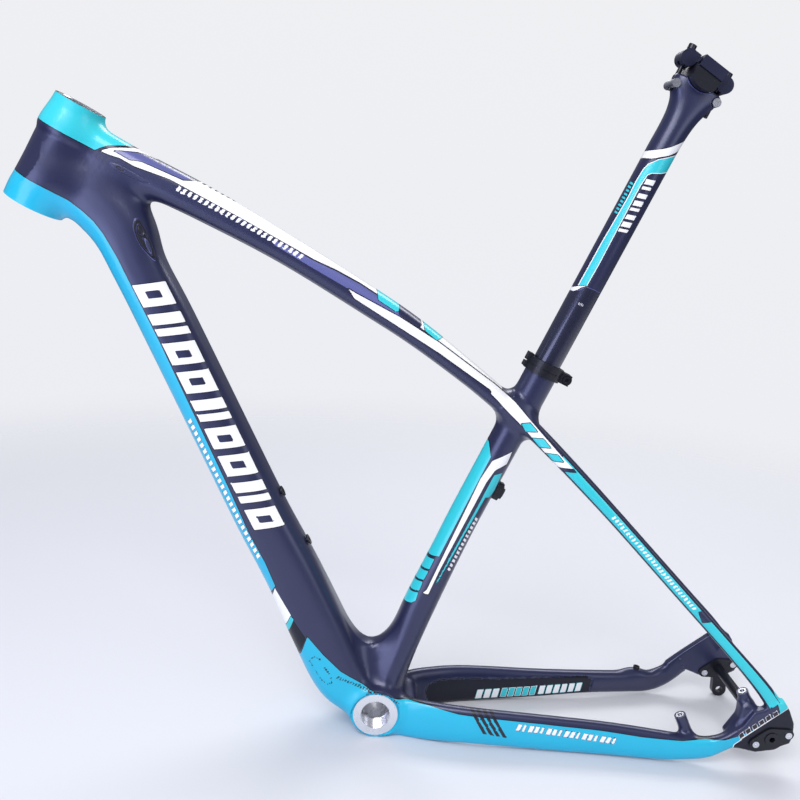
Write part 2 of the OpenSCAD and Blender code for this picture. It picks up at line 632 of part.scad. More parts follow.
head_tube();
headset_seat_upper();
headset_seat_lower();
top_tube();
down_tube();
seat_tube();
bb_shell();
bb_sleeve();
chainstay_left();
chainstay_right();
seatstay_left();
seatstay_right();
dropout_left();
derailleur_hanger();
dropout_screws();
brake_posts();
brake_post_inserts();
cable_stop();
cable_stop_screws();
cable_port_plugs();
chainstay_port_plug();
bottle_rivnuts();
seat_clamp();
seat_clamp_bolt();
seat_clamp_nut();
seatpost();
saddle_cradle();
saddle_clamp_top();
saddle_bolt_front();
saddle_bolt_rear();
saddle_clamp_nuts();
thru_axle();
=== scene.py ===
"""A moulded bicycle frame with its seatpost, on a pale floor.

Shapes are worked out in millimetres and built in metres. The bottom bracket centre is the origin,
x runs rearwards, z up, and the rider's left is -y. The blended skin is one distance field, meshed,
painted by cutting it along outlines drawn in side view, then separated into pieces.
"""
import itertools
import math
from collections import namedtuple

import bpy
import numpy as np
from mathutils import Matrix, Vector


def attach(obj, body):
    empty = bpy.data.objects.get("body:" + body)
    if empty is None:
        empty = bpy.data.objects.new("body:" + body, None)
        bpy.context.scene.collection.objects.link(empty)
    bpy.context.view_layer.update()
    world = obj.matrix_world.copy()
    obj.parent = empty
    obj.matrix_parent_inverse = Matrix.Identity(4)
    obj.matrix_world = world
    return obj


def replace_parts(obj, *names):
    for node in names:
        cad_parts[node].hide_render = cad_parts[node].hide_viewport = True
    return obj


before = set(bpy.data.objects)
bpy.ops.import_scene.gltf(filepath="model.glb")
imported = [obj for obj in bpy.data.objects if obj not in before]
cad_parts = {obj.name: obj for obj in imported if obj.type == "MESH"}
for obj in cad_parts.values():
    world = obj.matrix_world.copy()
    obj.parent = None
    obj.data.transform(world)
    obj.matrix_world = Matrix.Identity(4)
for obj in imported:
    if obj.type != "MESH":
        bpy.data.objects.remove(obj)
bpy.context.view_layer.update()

# ---------------------------------------------------------------- driving dimensions
SEAT_COS, SEAT_SIN = math.cos(math.radians(73)), math.sin(math.radians(73))
SEAT_X = -11                     # where the seat tube axis meets z = 0
HEAD_LENGTH = 114.0
HEAD_DIR = np.array([math.cos(math.radians(70)), math.sin(math.radians(70))])
HEAD_BASE = np.array([-400.0, 610.0]) - HEAD_DIR * HEAD_LENGTH
AXLE = (436.0, 63.0)             # rear axle, x and z
POST_DIR = np.array([-0.530, 0, 0.848])     # axis of the brake posts
POST_ROW = np.array([0.848, 0, 0.530])      # from one brake post to the other
FRONT_POST = np.array([336.2, -63, 66.6])
BRAKE_POSTS = (FRONT_POST, FRONT_POST + POST_ROW * 74.2)
POST_RADIUS, POST_LOW, POST_HIGH, POST_EDGE = 6.5, -34, 6, 0.5
SHELL_RADIUS, SHELL_HALF, SHELL_EDGE = 28.5, 35.5, 2
CRADLE_S = 783.0                 # saddle cradle axis, measured along the seat tube
BOSS_DIR = np.array([90, -127.0]) / math.hypot(90, 127)      # down along the down tube
BOSS_OUT = np.array([127.0, 90]) / math.hypot(90, 127)       # square to it, up and back
UPPER_BOSS = np.array([-115, 147.0]) - BOSS_DIR * 26 + BOSS_OUT * 27.9
BOSSES = (UPPER_BOSS, UPPER_BOSS - BOSS_DIR * 64)

REACH, CELL = 46, 3.0            # margin and cell of each tube's lookup grid
FAR = 60.0                       # distance given outside a local shape's region
NEAR = 6.0                       # distance given away from a painted outline


# ---------------------------------------------------------------- distance helpers
def catmull(a, b, c, d, t):
    return 0.5 * (2 * b + (c - a) * t + (2 * a - 5 * b + 4 * c - d) * t * t
                  + (3 * b - a - 3 * c + d) * t ** 3)


def spline(rows, steps=10):
    """A smooth curve through the rows, with so many steps between each pair."""
    rows = np.array(rows, float)
    last = len(rows) - 1
    out = []
    for i in range(last):
        four = rows[max(i - 1, 0)], rows[i], rows[i + 1], rows[min(i + 2, last)]
        out += [catmull(*four, j / steps) for j in range(steps)]
    out.append(rows[-1])
    return np.array(out)


def smin(a, b, width):
    """The smaller of two distances, blended over a width."""
    h = np.maximum(width - np.abs(a - b), 0) / width
    return np.minimum(a, b) - h * h * width * 0.25


def smax(a, b, width):
    return -smin(-a, -b, width)


def superellipse(up, out, half_height, half_width, power):
    a = np.abs(up) / half_height
    b = np.abs(out) / half_width
    total = np.maximum(a ** power + b ** power, 1e-9)
    value = total ** (1 / power)
    scale = total ** (1 / power - 1)
    slope = np.sqrt((a ** (power - 1) / half_height * scale) ** 2
                    + (b ** (power - 1) / half_width * scale) ** 2)
    return (value - 1) / np.maximum(slope, 1e-5)


def rounded(a, b, radius):
    """Where two distances, both drawn in by the radius, meet in a rounded edge."""
    return np.hypot(np.maximum(a, 0), np.maximum(b, 0)) + np.minimum(np.maximum(a, b), 0) - radius


def polygon(x, z, points):
    """Signed distance to a closed outline in side view, negative inside."""
    points = np.array(points, float)
    squared = np.full(np.shape(x), 1e18)
    sign = np.ones(np.shape(x))
    for a, b in zip(points, np.roll(points, 1, axis=0)):
        ex, ez = b - a
        wx = x - a[0]
        wz = z - a[1]
        t = np.clip((wx * ex + wz * ez) / (ex * ex + ez * ez), 0, 1)
        squared = np.minimum(squared, (wx - ex * t) ** 2 + (wz - ez * t) ** 2)
        above = z >= a[1]
        below = z < b[1]
        beside = ex * wz > ez * wx
        crossed = (above & below & beside) | (~above & ~below & ~beside)
        sign = np.where(crossed, -sign, sign)
    return sign * np.sqrt(squared)


def near_polygon(x, z, points):
    """The same, worked out only close to the outline."""
    low = np.min(points, 0) - NEAR
    high = np.max(points, 0) + NEAR
    close = (x > low[0]) & (x < high[0]) & (z > low[1]) & (z < high[1])
    out = np.full(x.shape, NEAR)
    out[close] = polygon(x[close], z[close], points)
    return out


def slab(x, y, z, points, y0, y1, radius):
    """A side view outline made solid from y0 to y1."""
    return rounded(polygon(x, z, points) + radius,
                   np.abs(y - (y0 + y1) / 2) - ((y1 - y0) / 2 - radius), radius)


def seat_point(along, back=0.0):
    return (SEAT_X + SEAT_COS * along + SEAT_SIN * back, SEAT_SIN * along - SEAT_COS * back)


def seat_local(x, z):
    """Distance behind the seat tube axis, and along it."""
    return ((x - SEAT_X) * SEAT_SIN - z * SEAT_COS, (x - SEAT_X) * SEAT_COS + z * SEAT_SIN)


def head_local(x, z):
    """Distance up the head tube axis, and across it."""
    dx = x - HEAD_BASE[0]
    dz = z - HEAD_BASE[1]
    return dx * HEAD_DIR[0] + dz * HEAD_DIR[1], dx * HEAD_DIR[1] - dz * HEAD_DIR[0]


class Tube:
    """A swept tube through stations: x, y, z, half height, half width, squareness.

    side 0 keeps y as it is, 1 or -1 puts the tube on that side, 2 on both.
    """

    def __init__(self, stations, side=0):
        self.rows = spline(stations)
        self.side = side
        self.last = len(self.rows) - 1
        path = self.rows[:, [0, 2]]
        step = np.gradient(path, axis=0)
        length = np.linalg.norm(step, axis=1)
        self.dirs = dirs = step / length[:, None]
        slope = np.gradient(self.rows[:, 1]) / length
        self.tilt = 1 / np.sqrt(1 + slope * slope)
        self.low = path.min(0) - REACH
        self.size = np.ceil((path.max(0) + REACH - self.low) / CELL).astype(int) + 1
        axes = [self.low[i] + CELL * np.arange(self.size[i]) for i in (0, 1)]
        x, z = np.meshgrid(*axes, indexing="ij")
        i = ((x[..., None] - path[:, 0]) ** 2 + (z[..., None] - path[:, 1]) ** 2).argmin(-1)
        ahead = ((x - path[i, 0]) * dirs[i, 0] + (z - path[i, 1]) * dirs[i, 1]) / length[i]
        self.table = np.clip(i + np.clip(ahead, -0.7, 0.7), 0, self.last)
        steps = np.linalg.norm(np.diff(path, axis=0), axis=1)
        self.arc = np.concatenate([[0], np.cumsum(steps)])

    def station(self, x, z):
        """The row number nearest a place in side view, from the lookup grid."""
        gx = np.clip((x - self.low[0]) / CELL, 0, self.size[0] - 1.001)
        gz = np.clip((z - self.low[1]) / CELL, 0, self.size[1] - 1.001)
        i = gx.astype(int)
        j = gz.astype(int)
        fx = gx - i
        fz = gz - j
        grid = self.table
        return ((grid[i, j] * (1 - fx) + grid[i + 1, j] * fx) * (1 - fz)
                + (grid[i, j + 1] * (1 - fx) + grid[i + 1, j + 1] * fx) * fz)

    def local(self, x, y, z):
        """Height above the path, distance outward, the row there, distance past an end."""
        t = self.station(x, z)
        i = np.minimum(t.astype(int), self.last - 1)
        f = t - i
        part = f[..., None]
        row = self.rows[i] * (1 - f)[..., None] + self.rows[i + 1] * part
        along = self.dirs[i] * (1 - f)[..., None] + self.dirs[i + 1] * part
        tilt = self.tilt[i] * (1 - f) + self.tilt[i + 1] * f
        dx = x - row[..., 0]
        dz = z - row[..., 2]
        up = -along[..., 1] * dx + along[..., 0] * dz
        ahead = along[..., 0] * dx + along[..., 1] * dz
        past = np.where(t <= 0, -ahead, np.where(t >= self.last, ahead, 0))
        if self.side == 2:
            y = np.abs(y)
        elif self.side:
            y = y * self.side
        return up, (y - row[..., 1]) * tilt, row, past

    def distance(self, x, y, z):
        up, out, row, past = self.local(x, y, z)
        d = superellipse(up, out, row[..., 3], row[..., 4], row[..., 5])
        return np.where(past > 0, np.maximum(d, past), d)

    def point(self, arc, up):
        """The point a distance arc along the path and up above it."""
        t = np.interp(arc, self.arc, np.arange(self.last + 1))
        i = int(min(t, self.last - 1))
        f = t - i
        row = self.rows[i] * (1 - f) + self.rows[i + 1] * f
        along = self.dirs[i] * (1 - f) + self.dirs[i + 1] * f
        return (row[0] - along[1] * up, row[2] + along[0] * up)

    def arc_at(self, x, z):
        dx = x - self.rows[:, 0]
        dz = z - self.rows[:, 2]
        i = int((dx ** 2 + dz ** 2).argmin())
        return self.arc[i] + dx[i] * self.dirs[i, 0] + dz[i] * self.dirs[i, 1]


# ---------------------------------------------------------------- moulded tubes
# Stations: x, y, z, half height, half width, squareness
TOP_TUBE = Tube([
    [-404, 0, 582, 18.5, 20, 2.6], [-345, 0, 558, 19.5, 22, 2.7], [-265, 0, 533, 18, 21, 2.8],
    [-176, 0, 501, 15.4, 19.5, 2.8], [-75, 0, 458.8, 15, 18, 2.8], [-20, 0, 433.3, 14, 17.8, 2.8],
    [40, 0, 400.5, 12.4, 18.6, 2.8], [76, 0, 379, 12, 19.4, 2.7], [104, 0, 361, 10.5, 18, 2.5],
    [124, 0, 347, 8, 14, 2.3]])
DOWN_TUBE = Tube([
    [-421, 0, 541, 15, 22, 2.5], [-381.5, 0, 525.5, 32, 25, 2.7], [-348, 0, 498, 32.5, 26, 2.8],
    [-324, 0, 457, 27.5, 26.5, 2.9], [-288, 0, 403, 28.2, 27, 2.9], [-205, 0, 274, 29.3, 27, 2.9],
    [-162.2, 0, 208.1, 30, 27.5, 2.9], [-118.3, 0, 144.7, 31, 29, 2.9],
    [-78.2, 0, 81.3, 32.5, 31.5, 3.1], [-43.1, 0, 29.4, 31.5, 34, 3.3], [-6, 0, 3, 23, 33, 3.2]])
# Seat tube: along the axis, behind the axis, half height, half width
SEAT_STATIONS = [
    (455, 0, 17.8, 17.8), (400, 0, 17.8, 17.8), (340, 0, 17.6, 17.6), (253, 0, 17.5, 17.6),
    (200, 1.2, 17.7, 17.8), (136, 3.1, 18.9, 18.8), (96, 6.0, 18.4, 21), (60, 8.0, 19, 25),
    (24, 10, 20, 29), (-4, 11, 20, 31)]
seat_rows = []
for along, back, half_height, half_width in SEAT_STATIONS:
    x, z = seat_point(along, back)
    seat_rows.append([x, 0, z, half_height, half_width, 2.05])
SEAT_TUBE = Tube(seat_rows)
CHAINSTAY_ROOT = [[2, 25, -4, 21.5, 9.5, 2.6], [30, 27, -2.2, 23.7, 9.5, 2.7]]
CHAINSTAY_L = Tube(CHAINSTAY_ROOT + [
    [62, 37, 2.6, 23.3, 9, 2.7], [110, 47, 9.6, 21.4, 8.6, 2.7], [200, 54, 17.6, 20.4, 8.6, 2.7],
    [262, 60, 23.8, 19.2, 8.6, 2.6], [320, 68, 29.6, 16.8, 8.6, 2.6], [347, 71, 33, 14, 9, 2.6],
    [368, 74, 38, 12, 8, 2.6], [386, 76.2, 48, 9, 5.4, 2.6], [400, 76.2, 58, 9, 5.2, 2.6]], -1)
CHAINSTAY_R = Tube(CHAINSTAY_ROOT + [
    [62, 37, 2.5, 24.3, 9, 2.7], [110, 47, 8, 23.2, 8.6, 2.7], [200, 54, 18, 18, 8.6, 2.7],
    [262, 60, 25.4, 14.6, 8.6, 2.6], [320, 68, 29.8, 13.6, 8.6, 2.6],
    [347, 72, 32, 12.6, 9, 2.6], [368, 75.8, 40.5, 12.5, 6.8, 2.6],
    [388, 78, 58, 11, 5.0, 2.6]], 1)
SEATSTAYS = Tube([
    [84, 13, 377, 10.5, 5, 2.4], [98, 13, 367, 10.4, 6.4, 2.4], [120, 21, 351, 8.8, 7.2, 2.4],
    [160, 38, 322, 7.6, 6.8, 2.5], [220, 48, 276, 7, 6.4, 2.6], [300, 57, 212, 7, 6.4, 2.6],
    [370, 67, 156, 7, 6.2, 2.6], [412, 75, 121, 8, 5.4, 2.5], [436, 76.2, 97, 9, 5.2, 2.5]], 2)
TUBES = (TOP_TUBE, DOWN_TUBE, SEAT_TUBE, CHAINSTAY_L, CHAINSTAY_R, SEATSTAYS)


def about_axle(points):
    return [(AXLE[0] + x, AXLE[1] + z) for x, z in points]


# Plates at the rear axle, the left web above its plate and the chainstay panel: x, z
END_L = about_axle([
    (-62, -30), (-42, -17), (-13, -20), (5, -15), (14, -9), (23, -4), (25, 5), (22, 21), (13, 36),
    (4, 46), (-7, 42), (-14, 34), (-26, 28), (-34, 10), (-46, -4), (-62, -14)])
END_R = about_axle([
    (-66, -26), (-46, -8), (-20, -15), (0, -15), (13, -9), (23, -2), (25, 6), (21, 22), (12, 36),
    (4, 46), (-12, 52), (-30, 34), (-50, 14), (-66, -4)])
WEB_L = [(388, 56), (398, 78), (399, 92), (407, 96), (413, 95), (418, 89), (426, 88), (431, 93),
         (434, 102), (440, 98), (437, 84), (420, 68), (400, 52)]
PANEL = [(62, -1), (64, 9), (76, 15), (155, 23), (262, 38), (272, 33), (272, 14), (262, 8),
         (163, -12), (80, -23), (68, -16)]
# Head tube: height up its axis, radius
HEAD_PROFILE = spline([
    [0, 30.2], [14, 30.4], [24, 29.6], [45, 28.6], [68, 28.2], [74, 28.2], [80, 29.9],
    [87, 29.9], [98, 28.2], [105, 27], [112, 26.3], [114, 26.2]], 6)
HEAD_PROFILE = np.vstack([[-8, 30.2], HEAD_PROFILE, [122, 26.2]])


def brake_post(x, y, z, foot):
    dx, dy, dz = x - foot[0], y - foot[1], z - foot[2]
    along = dx * POST_DIR[0] + dy * POST_DIR[1] + dz * POST_DIR[2]
    radius = np.sqrt(np.maximum(dx * dx + dy * dy + dz * dz - along * along, 0))
    ends = np.abs(along - (POST_LOW + POST_HIGH) / 2) - (POST_HIGH - POST_LOW) / 2
    return rounded(radius - POST_RADIUS + POST_EDGE, ends + POST_EDGE, POST_EDGE)


def yoke(x, y, z):
    """A rounded block behind the bottom bracket, joining the chainstays."""
    a, b, c = np.abs(x - 26) - 12, np.abs(y) - 16, np.abs(z - 3) - 4
    outside = np.sqrt(sum(np.maximum(v, 0) ** 2 for v in (a, b, c)))
    return outside + np.minimum(np.maximum(np.maximum(a, b), c), 0) - 10


def within(region, shape, x, y, z):
    out = np.full(x.shape, FAR)
    out[region] = shape(x[region], y[region], z[region])
    return out


def distances(x, y, z):
    """Distance to each primitive of the skin."""
    at = (x, y, z)
    along, across = head_local(x, z)
    radius = np.hypot(y, across)
    head = np.maximum((radius - np.interp(along, HEAD_PROFILE[:, 0], HEAD_PROFILE[:, 1])) * 0.99,
                      np.maximum(along - HEAD_LENGTH - 6, -6 - along))
    shell = rounded(np.hypot(x, z) - SHELL_RADIUS + SHELL_EDGE,
                    np.abs(y) - SHELL_HALF + SHELL_EDGE, SHELL_EDGE)
    rear = (x > 300) & (z < 160)
    left = rear & (y < 0)
    return [
        head, TOP_TUBE.distance(*at), DOWN_TUBE.distance(*at), SEAT_TUBE.distance(*at), shell,
        CHAINSTAY_L.distance(*at), CHAINSTAY_R.distance(*at), SEATSTAYS.distance(*at),
        within(left, lambda *p: slab(*p, END_L, -81.5, -71, 2.5), *at),
        within(rear & (y > 0), lambda *p: slab(*p, END_R, 73, 82.5, 2.5), *at),
        within(left, lambda *p: slab(*p, WEB_L, -75, -57.5, 5.0), *at),
        within(left, lambda *p: np.minimum(*[brake_post(*p, foot) for foot in BRAKE_POSTS]), *at),
        within((x < 90) & (x > -30) & (z < 60), yoke, *at)]


def plug_fairing(x, y, z):
    """A long swelling on the right chainstay."""
    d = np.hypot(np.hypot((x - 330) / 2.2, y - 70), 0.9 * (z - 40.5)) - 6.9
    return np.where(np.abs(x - 330) < 60, d, 40.0)


def skin(x, y, z):
    """The whole blended frame. The last number of each smin is its blend width."""
    (head, top, down, seat, shell, chain_l, chain_r, stays,
     end_l, end_r, web, posts, bridge) = distances(x, y, z)
    d = smin(smin(top, down, 21), head, np.interp(z, [495, 530, 575], [24, 25, 12]))
    seat_blend = np.interp(z, [-25, 15, 70, 130, 300, 360], [4, 24, 62, 66, 10, 17])
    d = smin(d, seat, seat_blend * np.clip(1.1 - (np.abs(y) / 30) ** 2, 0.15, 1))
    d = smin(d, shell, np.interp(z, [-20, 8], [8, 17]))
    chain = smin(np.minimum(chain_l, chain_r), bridge, 8)
    chain = smin(chain, plug_fairing(x, y, z), 7)
    d = smin(d, chain, 12)
    d = smin(d, stays, 9)
    # flat faces on the bottom bracket shell
    d = np.maximum(d, np.minimum(np.abs(y) - 35.4, 27.5 - np.hypot(x, z)))
    d = smin(d, np.minimum(smin(end_l, web, 6), end_r), 5)
    d = smin(d, posts, 9)
    # shallow panel sunk into the outer face of each chainstay
    here = (x > 50) & (x < 285) & (z < 50) & (z > -30)
    px, py, pz = x[here], np.abs(y[here]), z[here]
    _, out, row, _ = CHAINSTAY_R.local(px, py, pz)
    sunk = np.maximum(polygon(px, pz, PANEL), (out + row[..., 4]) - 1.5)
    d[here] = smax(d[here], -sunk, 1.2)
    return d


def nearest_piece(x, y, z):
    """The number of the piece each place belongs to; the yoke counts as the shell."""
    (head, top, down, seat, shell, chain_l, chain_r, stays,
     end_l, end_r, web, posts, bridge) = distances(x, y, z)
    label = np.argmin(np.stack([
        head, top, down, seat, shell, np.minimum(np.minimum(chain_l, end_l), web),
        np.minimum(chain_r, end_r), np.where(y < 0, stays, 99), np.where(y >= 0, stays, 99),
        posts, bridge]), 0)
    return np.where(label == 10, SHELL, label)


# ---------------------------------------------------------------- meshing
def gradient(field, verts, step=0.35):
    """Unit gradient of the field at each vertex, and its length."""
    out = np.zeros_like(verts)
    for axis in range(3):
        shift = np.zeros(3)
        shift[axis] = step
        out[:, axis] = field(*(verts + shift).T) - field(*(verts - shift).T)
    length = np.linalg.norm(out, axis=1, keepdims=True)
    return out / np.maximum(length, 1e-9), length[:, 0] / (2 * step)


def grid_axes(low, high, cell):
    counts = np.ceil((high - low) / cell).astype(int) + 1
    return [low[i] + cell * np.arange(counts[i]) for i in range(3)]


def surface_nets(values, low, cell):
    """Vertices and triangles of the zero surface of a grid of distances."""
    inside = values < 0
    nx, ny, nz = values.shape
    corners = list(itertools.product((0, 1), repeat=3))
    count = np.zeros((nx - 1, ny - 1, nz - 1), np.int8)
    for i, j, k in corners:
        count += inside[i:nx - 1 + i, j:ny - 1 + j, k:nz - 1 + k]
    active = (count > 0) & (count < 8)
    cells = np.stack(np.nonzero(active), 1)
    ids = np.full(active.shape, -1, np.int64)
    ids[tuple(cells.T)] = np.arange(len(cells))
    # each vertex is the mean of the crossings on its cell's twelve edges
    total = np.zeros((len(cells), 3))
    crossings = np.zeros(len(cells))
    for corner in corners:
        for axis in range(3):
            if corner[axis]:
                continue
            other = list(corner)
            other[axis] = 1
            start = values[tuple((cells + corner).T)]
            end = values[tuple((cells + other).T)]
            crossed = (start < 0) != (end < 0)
            t = np.where(crossed, start / np.where(crossed, start - end, 1), 0)
            place = np.tile(np.array(corner, float), (len(cells), 1))
            place[:, axis] += t
            total[crossed] += place[crossed]
            crossings[crossed] += 1
    verts = np.array(low) + cell * (cells + total / crossings[:, None])
    # one quad round every grid edge that crosses the surface
    quads = []
    for axis in range(3):
        u, v = (axis + 1) % 3, (axis + 2) % 3
        lower = [slice(None)] * 3
        upper = [slice(None)] * 3
        lower[axis] = slice(0, -1)
        upper[axis] = slice(1, None)
        edges = np.stack(np.nonzero(inside[tuple(lower)] != inside[tuple(upper)]), 1)
        edges = edges[(edges[:, u] > 0) & (edges[:, v] > 0)
                      & (edges[:, u] < active.shape[u]) & (edges[:, v] < active.shape[v])]
        ring = []
        for du, dv in ((-1, -1), (0, -1), (0, 0), (-1, 0)):
            near = edges.copy()
            near[:, u] += du
            near[:, v] += dv
            ring.append(ids[tuple(near.T)])
        quad = np.stack(ring, 1)
        flip = ~inside[tuple(edges.T)]
        quad[flip] = quad[flip][:, ::-1]
        quads.append(quad)
    quads = np.concatenate(quads)
    quads = quads[(quads >= 0).all(1)]
    first = np.linalg.norm(verts[quads[:, 0]] - verts[quads[:, 2]], axis=1)
    second = np.linalg.norm(verts[quads[:, 1]] - verts[quads[:, 3]], axis=1)
    a, b = quads[first <= second], quads[first > second]
    return verts, np.concatenate([a[:, [0, 1, 2]], a[:, [0, 2, 3]],
                                  b[:, [0, 1, 3]], b[:, [1, 2, 3]]])


def project(field, verts, rounds, cap=2.0):
    """Moves vertices onto the zero surface, no more than cap each round."""
    for _ in range(rounds):
        direction, slope = gradient(field, verts)
        move = np.clip(field(*verts.T) / np.maximum(slope, 0.3), -cap, cap)
        verts = verts - direction * move[:, None]
    return verts


def split(verts, faces, value, chosen=True):
    """Cuts chosen triangles where value is zero. Also returns each face's source face."""
    value = np.where(np.abs(value) < 1e-3, 1e-3, value)
    positive = (value > 0)[faces]
    count = positive.sum(1)
    mixed = (count > 0) & (count < 3) & chosen
    if not mixed.any():
        return verts, faces, np.arange(len(faces))
    cut = faces[mixed]
    # turn each triangle so that the corner alone on its side comes first
    lone = np.where((count[mixed] == 1)[:, None], positive[mixed], ~positive[mixed]).argmax(1)
    cut = np.take_along_axis(cut, (lone[:, None] + np.arange(3)) % 3, 1)
    pairs = np.concatenate([np.sort(cut[:, [0, 1]], 1), np.sort(cut[:, [0, 2]], 1)])
    edges, inverse = np.unique(pairs, axis=0, return_inverse=True)
    inverse = inverse.ravel()
    start, end = edges.T
    t = np.clip(value[start] / (value[start] - value[end]), 0.02, 0.98)
    added = verts[start] * (1 - t)[:, None] + verts[end] * t[:, None]
    p = len(verts) + inverse[:len(cut)]
    q = len(verts) + inverse[len(cut):]
    source = np.nonzero(mixed)[0]
    keep = np.nonzero(~mixed)[0]
    faces = np.concatenate([faces[keep], np.stack([cut[:, 0], p, q], 1),
                            np.stack([p, cut[:, 1], cut[:, 2]], 1),
                            np.stack([p, cut[:, 2], q], 1)])
    return np.concatenate([verts, added]), faces, np.concatenate([keep, source, source, source])


# ---------------------------------------------------------------- materials
def add_node(tree, kind, inputs=None, out=0, **settings):
    """Adds a node, sets or links its inputs and returns one output."""
    node = tree.nodes.new("ShaderNode" + kind)
    for key, value in settings.items():
        setattr(node, key, value)
    for key, value in (inputs or {}).items():
        if isinstance(value, bpy.types.NodeSocket):
            tree.links.new(value, node.inputs[key])
        else:
            node.inputs[key].default_value = value
    return node.outputs[out]


def noise(tree, vector, scale, detail):
    return add_node(tree, "TexNoise", {"Scale": scale, "Detail": detail, "Vector": vector}, "Fac")


def map_range(tree, value, start=(0, 1), end=(0, 1), **settings):
    return add_node(tree, "MapRange", {
        "From Min": start[0], "From Max": start[1], "To Min": end[0], "To Max": end[1],
        "Value": value}, **settings)


def mix_colour(tree, factor, first, second, **settings):
    # inputs 6 and 7 and output 2 are the colour sockets
    return add_node(tree, "Mix", {0: factor, 6: first, 7: second}, 2,
                    data_type="RGBA", **settings)


def math_node(tree, operation, first, second):
    return add_node(tree, "Math", {0: first, 1: second}, operation=operation)


def new_material(name):
    material = bpy.data.materials.new(name)
    material.use_nodes = True
    tree = material.node_tree
    return material, tree, tree.nodes["Principled BSDF"]


def finish(name, colour, rough, metal=0.0, coat=0.0, coat_rough=0.1, weave=0.0, grain=0.0,
           peel=0.15, var=0.06, brushed=None, spec=0.5, tint=None, top=None, wear=0.0):
    """One procedural finish.

    weave: woven cloth under the coat; grain: fine texture; peel: soft ripple; var: colour
    variation; brushed: scale of turning marks per axis; top: lighter colour blended onto faces
    turned up, a painted highlight from the light above; wear: bright specks.
    """
    material, tree, shader = new_material(name)
    where = add_node(tree, "TexCoord", out="Object")
    shader.inputs["Metallic"].default_value = metal
    shader.inputs["Coat Weight"].default_value = coat
    shader.inputs["Coat Roughness"].default_value = coat_rough
    shader.inputs["Specular IOR Level"].default_value = spec
    if tint:
        shader.inputs["Specular Tint"].default_value = (*tint, 1)
    dark = (*[c * (1 - var) for c in colour], 1)
    light = (*[min(1, c * (1 + var) + 0.002) for c in colour], 1)
    colour = mix_colour(tree, noise(tree, where, scale=14, detail=4), dark, light)
    # top: faces turned up are blended towards a lighter colour, a painted highlight from the light
    # above
    if top:
        normal = add_node(tree, "NewGeometry", out="Normal")
        upward = add_node(tree, "SeparateXYZ", {0: normal}, "Z")
        painted_top_highlight = map_range(tree, upward, start=(-0.4, 0.8))
        colour = mix_colour(tree, painted_top_highlight, colour, (*top, 1))
    heights = []

    def add_height(source, amount):
        layer = math_node(tree, "MULTIPLY", source, amount)
        heights.append(math_node(tree, "ADD", heights[-1], layer) if heights else layer)

    if weave:
        threads = []
        for turn in ((0, 0.6, 0.78), (0, 0.6, -0.78)):
            turned = add_node(tree, "Mapping", {"Rotation": turn, "Vector": where})
            threads.append(add_node(tree, "TexWave", {
                "Scale": 165, "Distortion": 0.3, "Vector": turned}, "Fac"))
        cloth = math_node(tree, "MULTIPLY", *threads)
        add_height(cloth, weave)
        shade = map_range(tree, cloth, end=(0.72, 1.25))
        colour = mix_colour(tree, 0.14, colour, shade, blend_type="MULTIPLY")
    add_height(noise(tree, where, scale=420, detail=2), peel)
    if grain:
        add_height(noise(tree, where, scale=2600, detail=3), grain)
    if brushed:
        stretched = add_node(tree, "Mapping", {"Scale": brushed, "Vector": where})
        add_height(noise(tree, stretched, scale=1, detail=3), 0.6)
    bump = add_node(tree, "Bump", {"Strength": 0.35, "Distance": 0.0002, "Height": heights[-1]})
    tree.links.new(bump, shader.inputs["Normal"])
    roughness = map_range(tree, noise(tree, where, scale=38, detail=5),
                          end=(max(0.02, rough - 0.05), rough + 0.07))
    tree.links.new(roughness, shader.inputs["Roughness"])
    if wear:
        cells = add_node(tree, "TexVoronoi", {"Scale": 260, "Vector": where}, "Distance")
        specks = map_range(tree, cells, start=(0.0, 0.16), end=(wear, 0))
        colour = mix_colour(tree, specks, colour, (0.45, 0.45, 0.47, 1))
    tree.links.new(colour, shader.inputs["Base Color"])
    return material


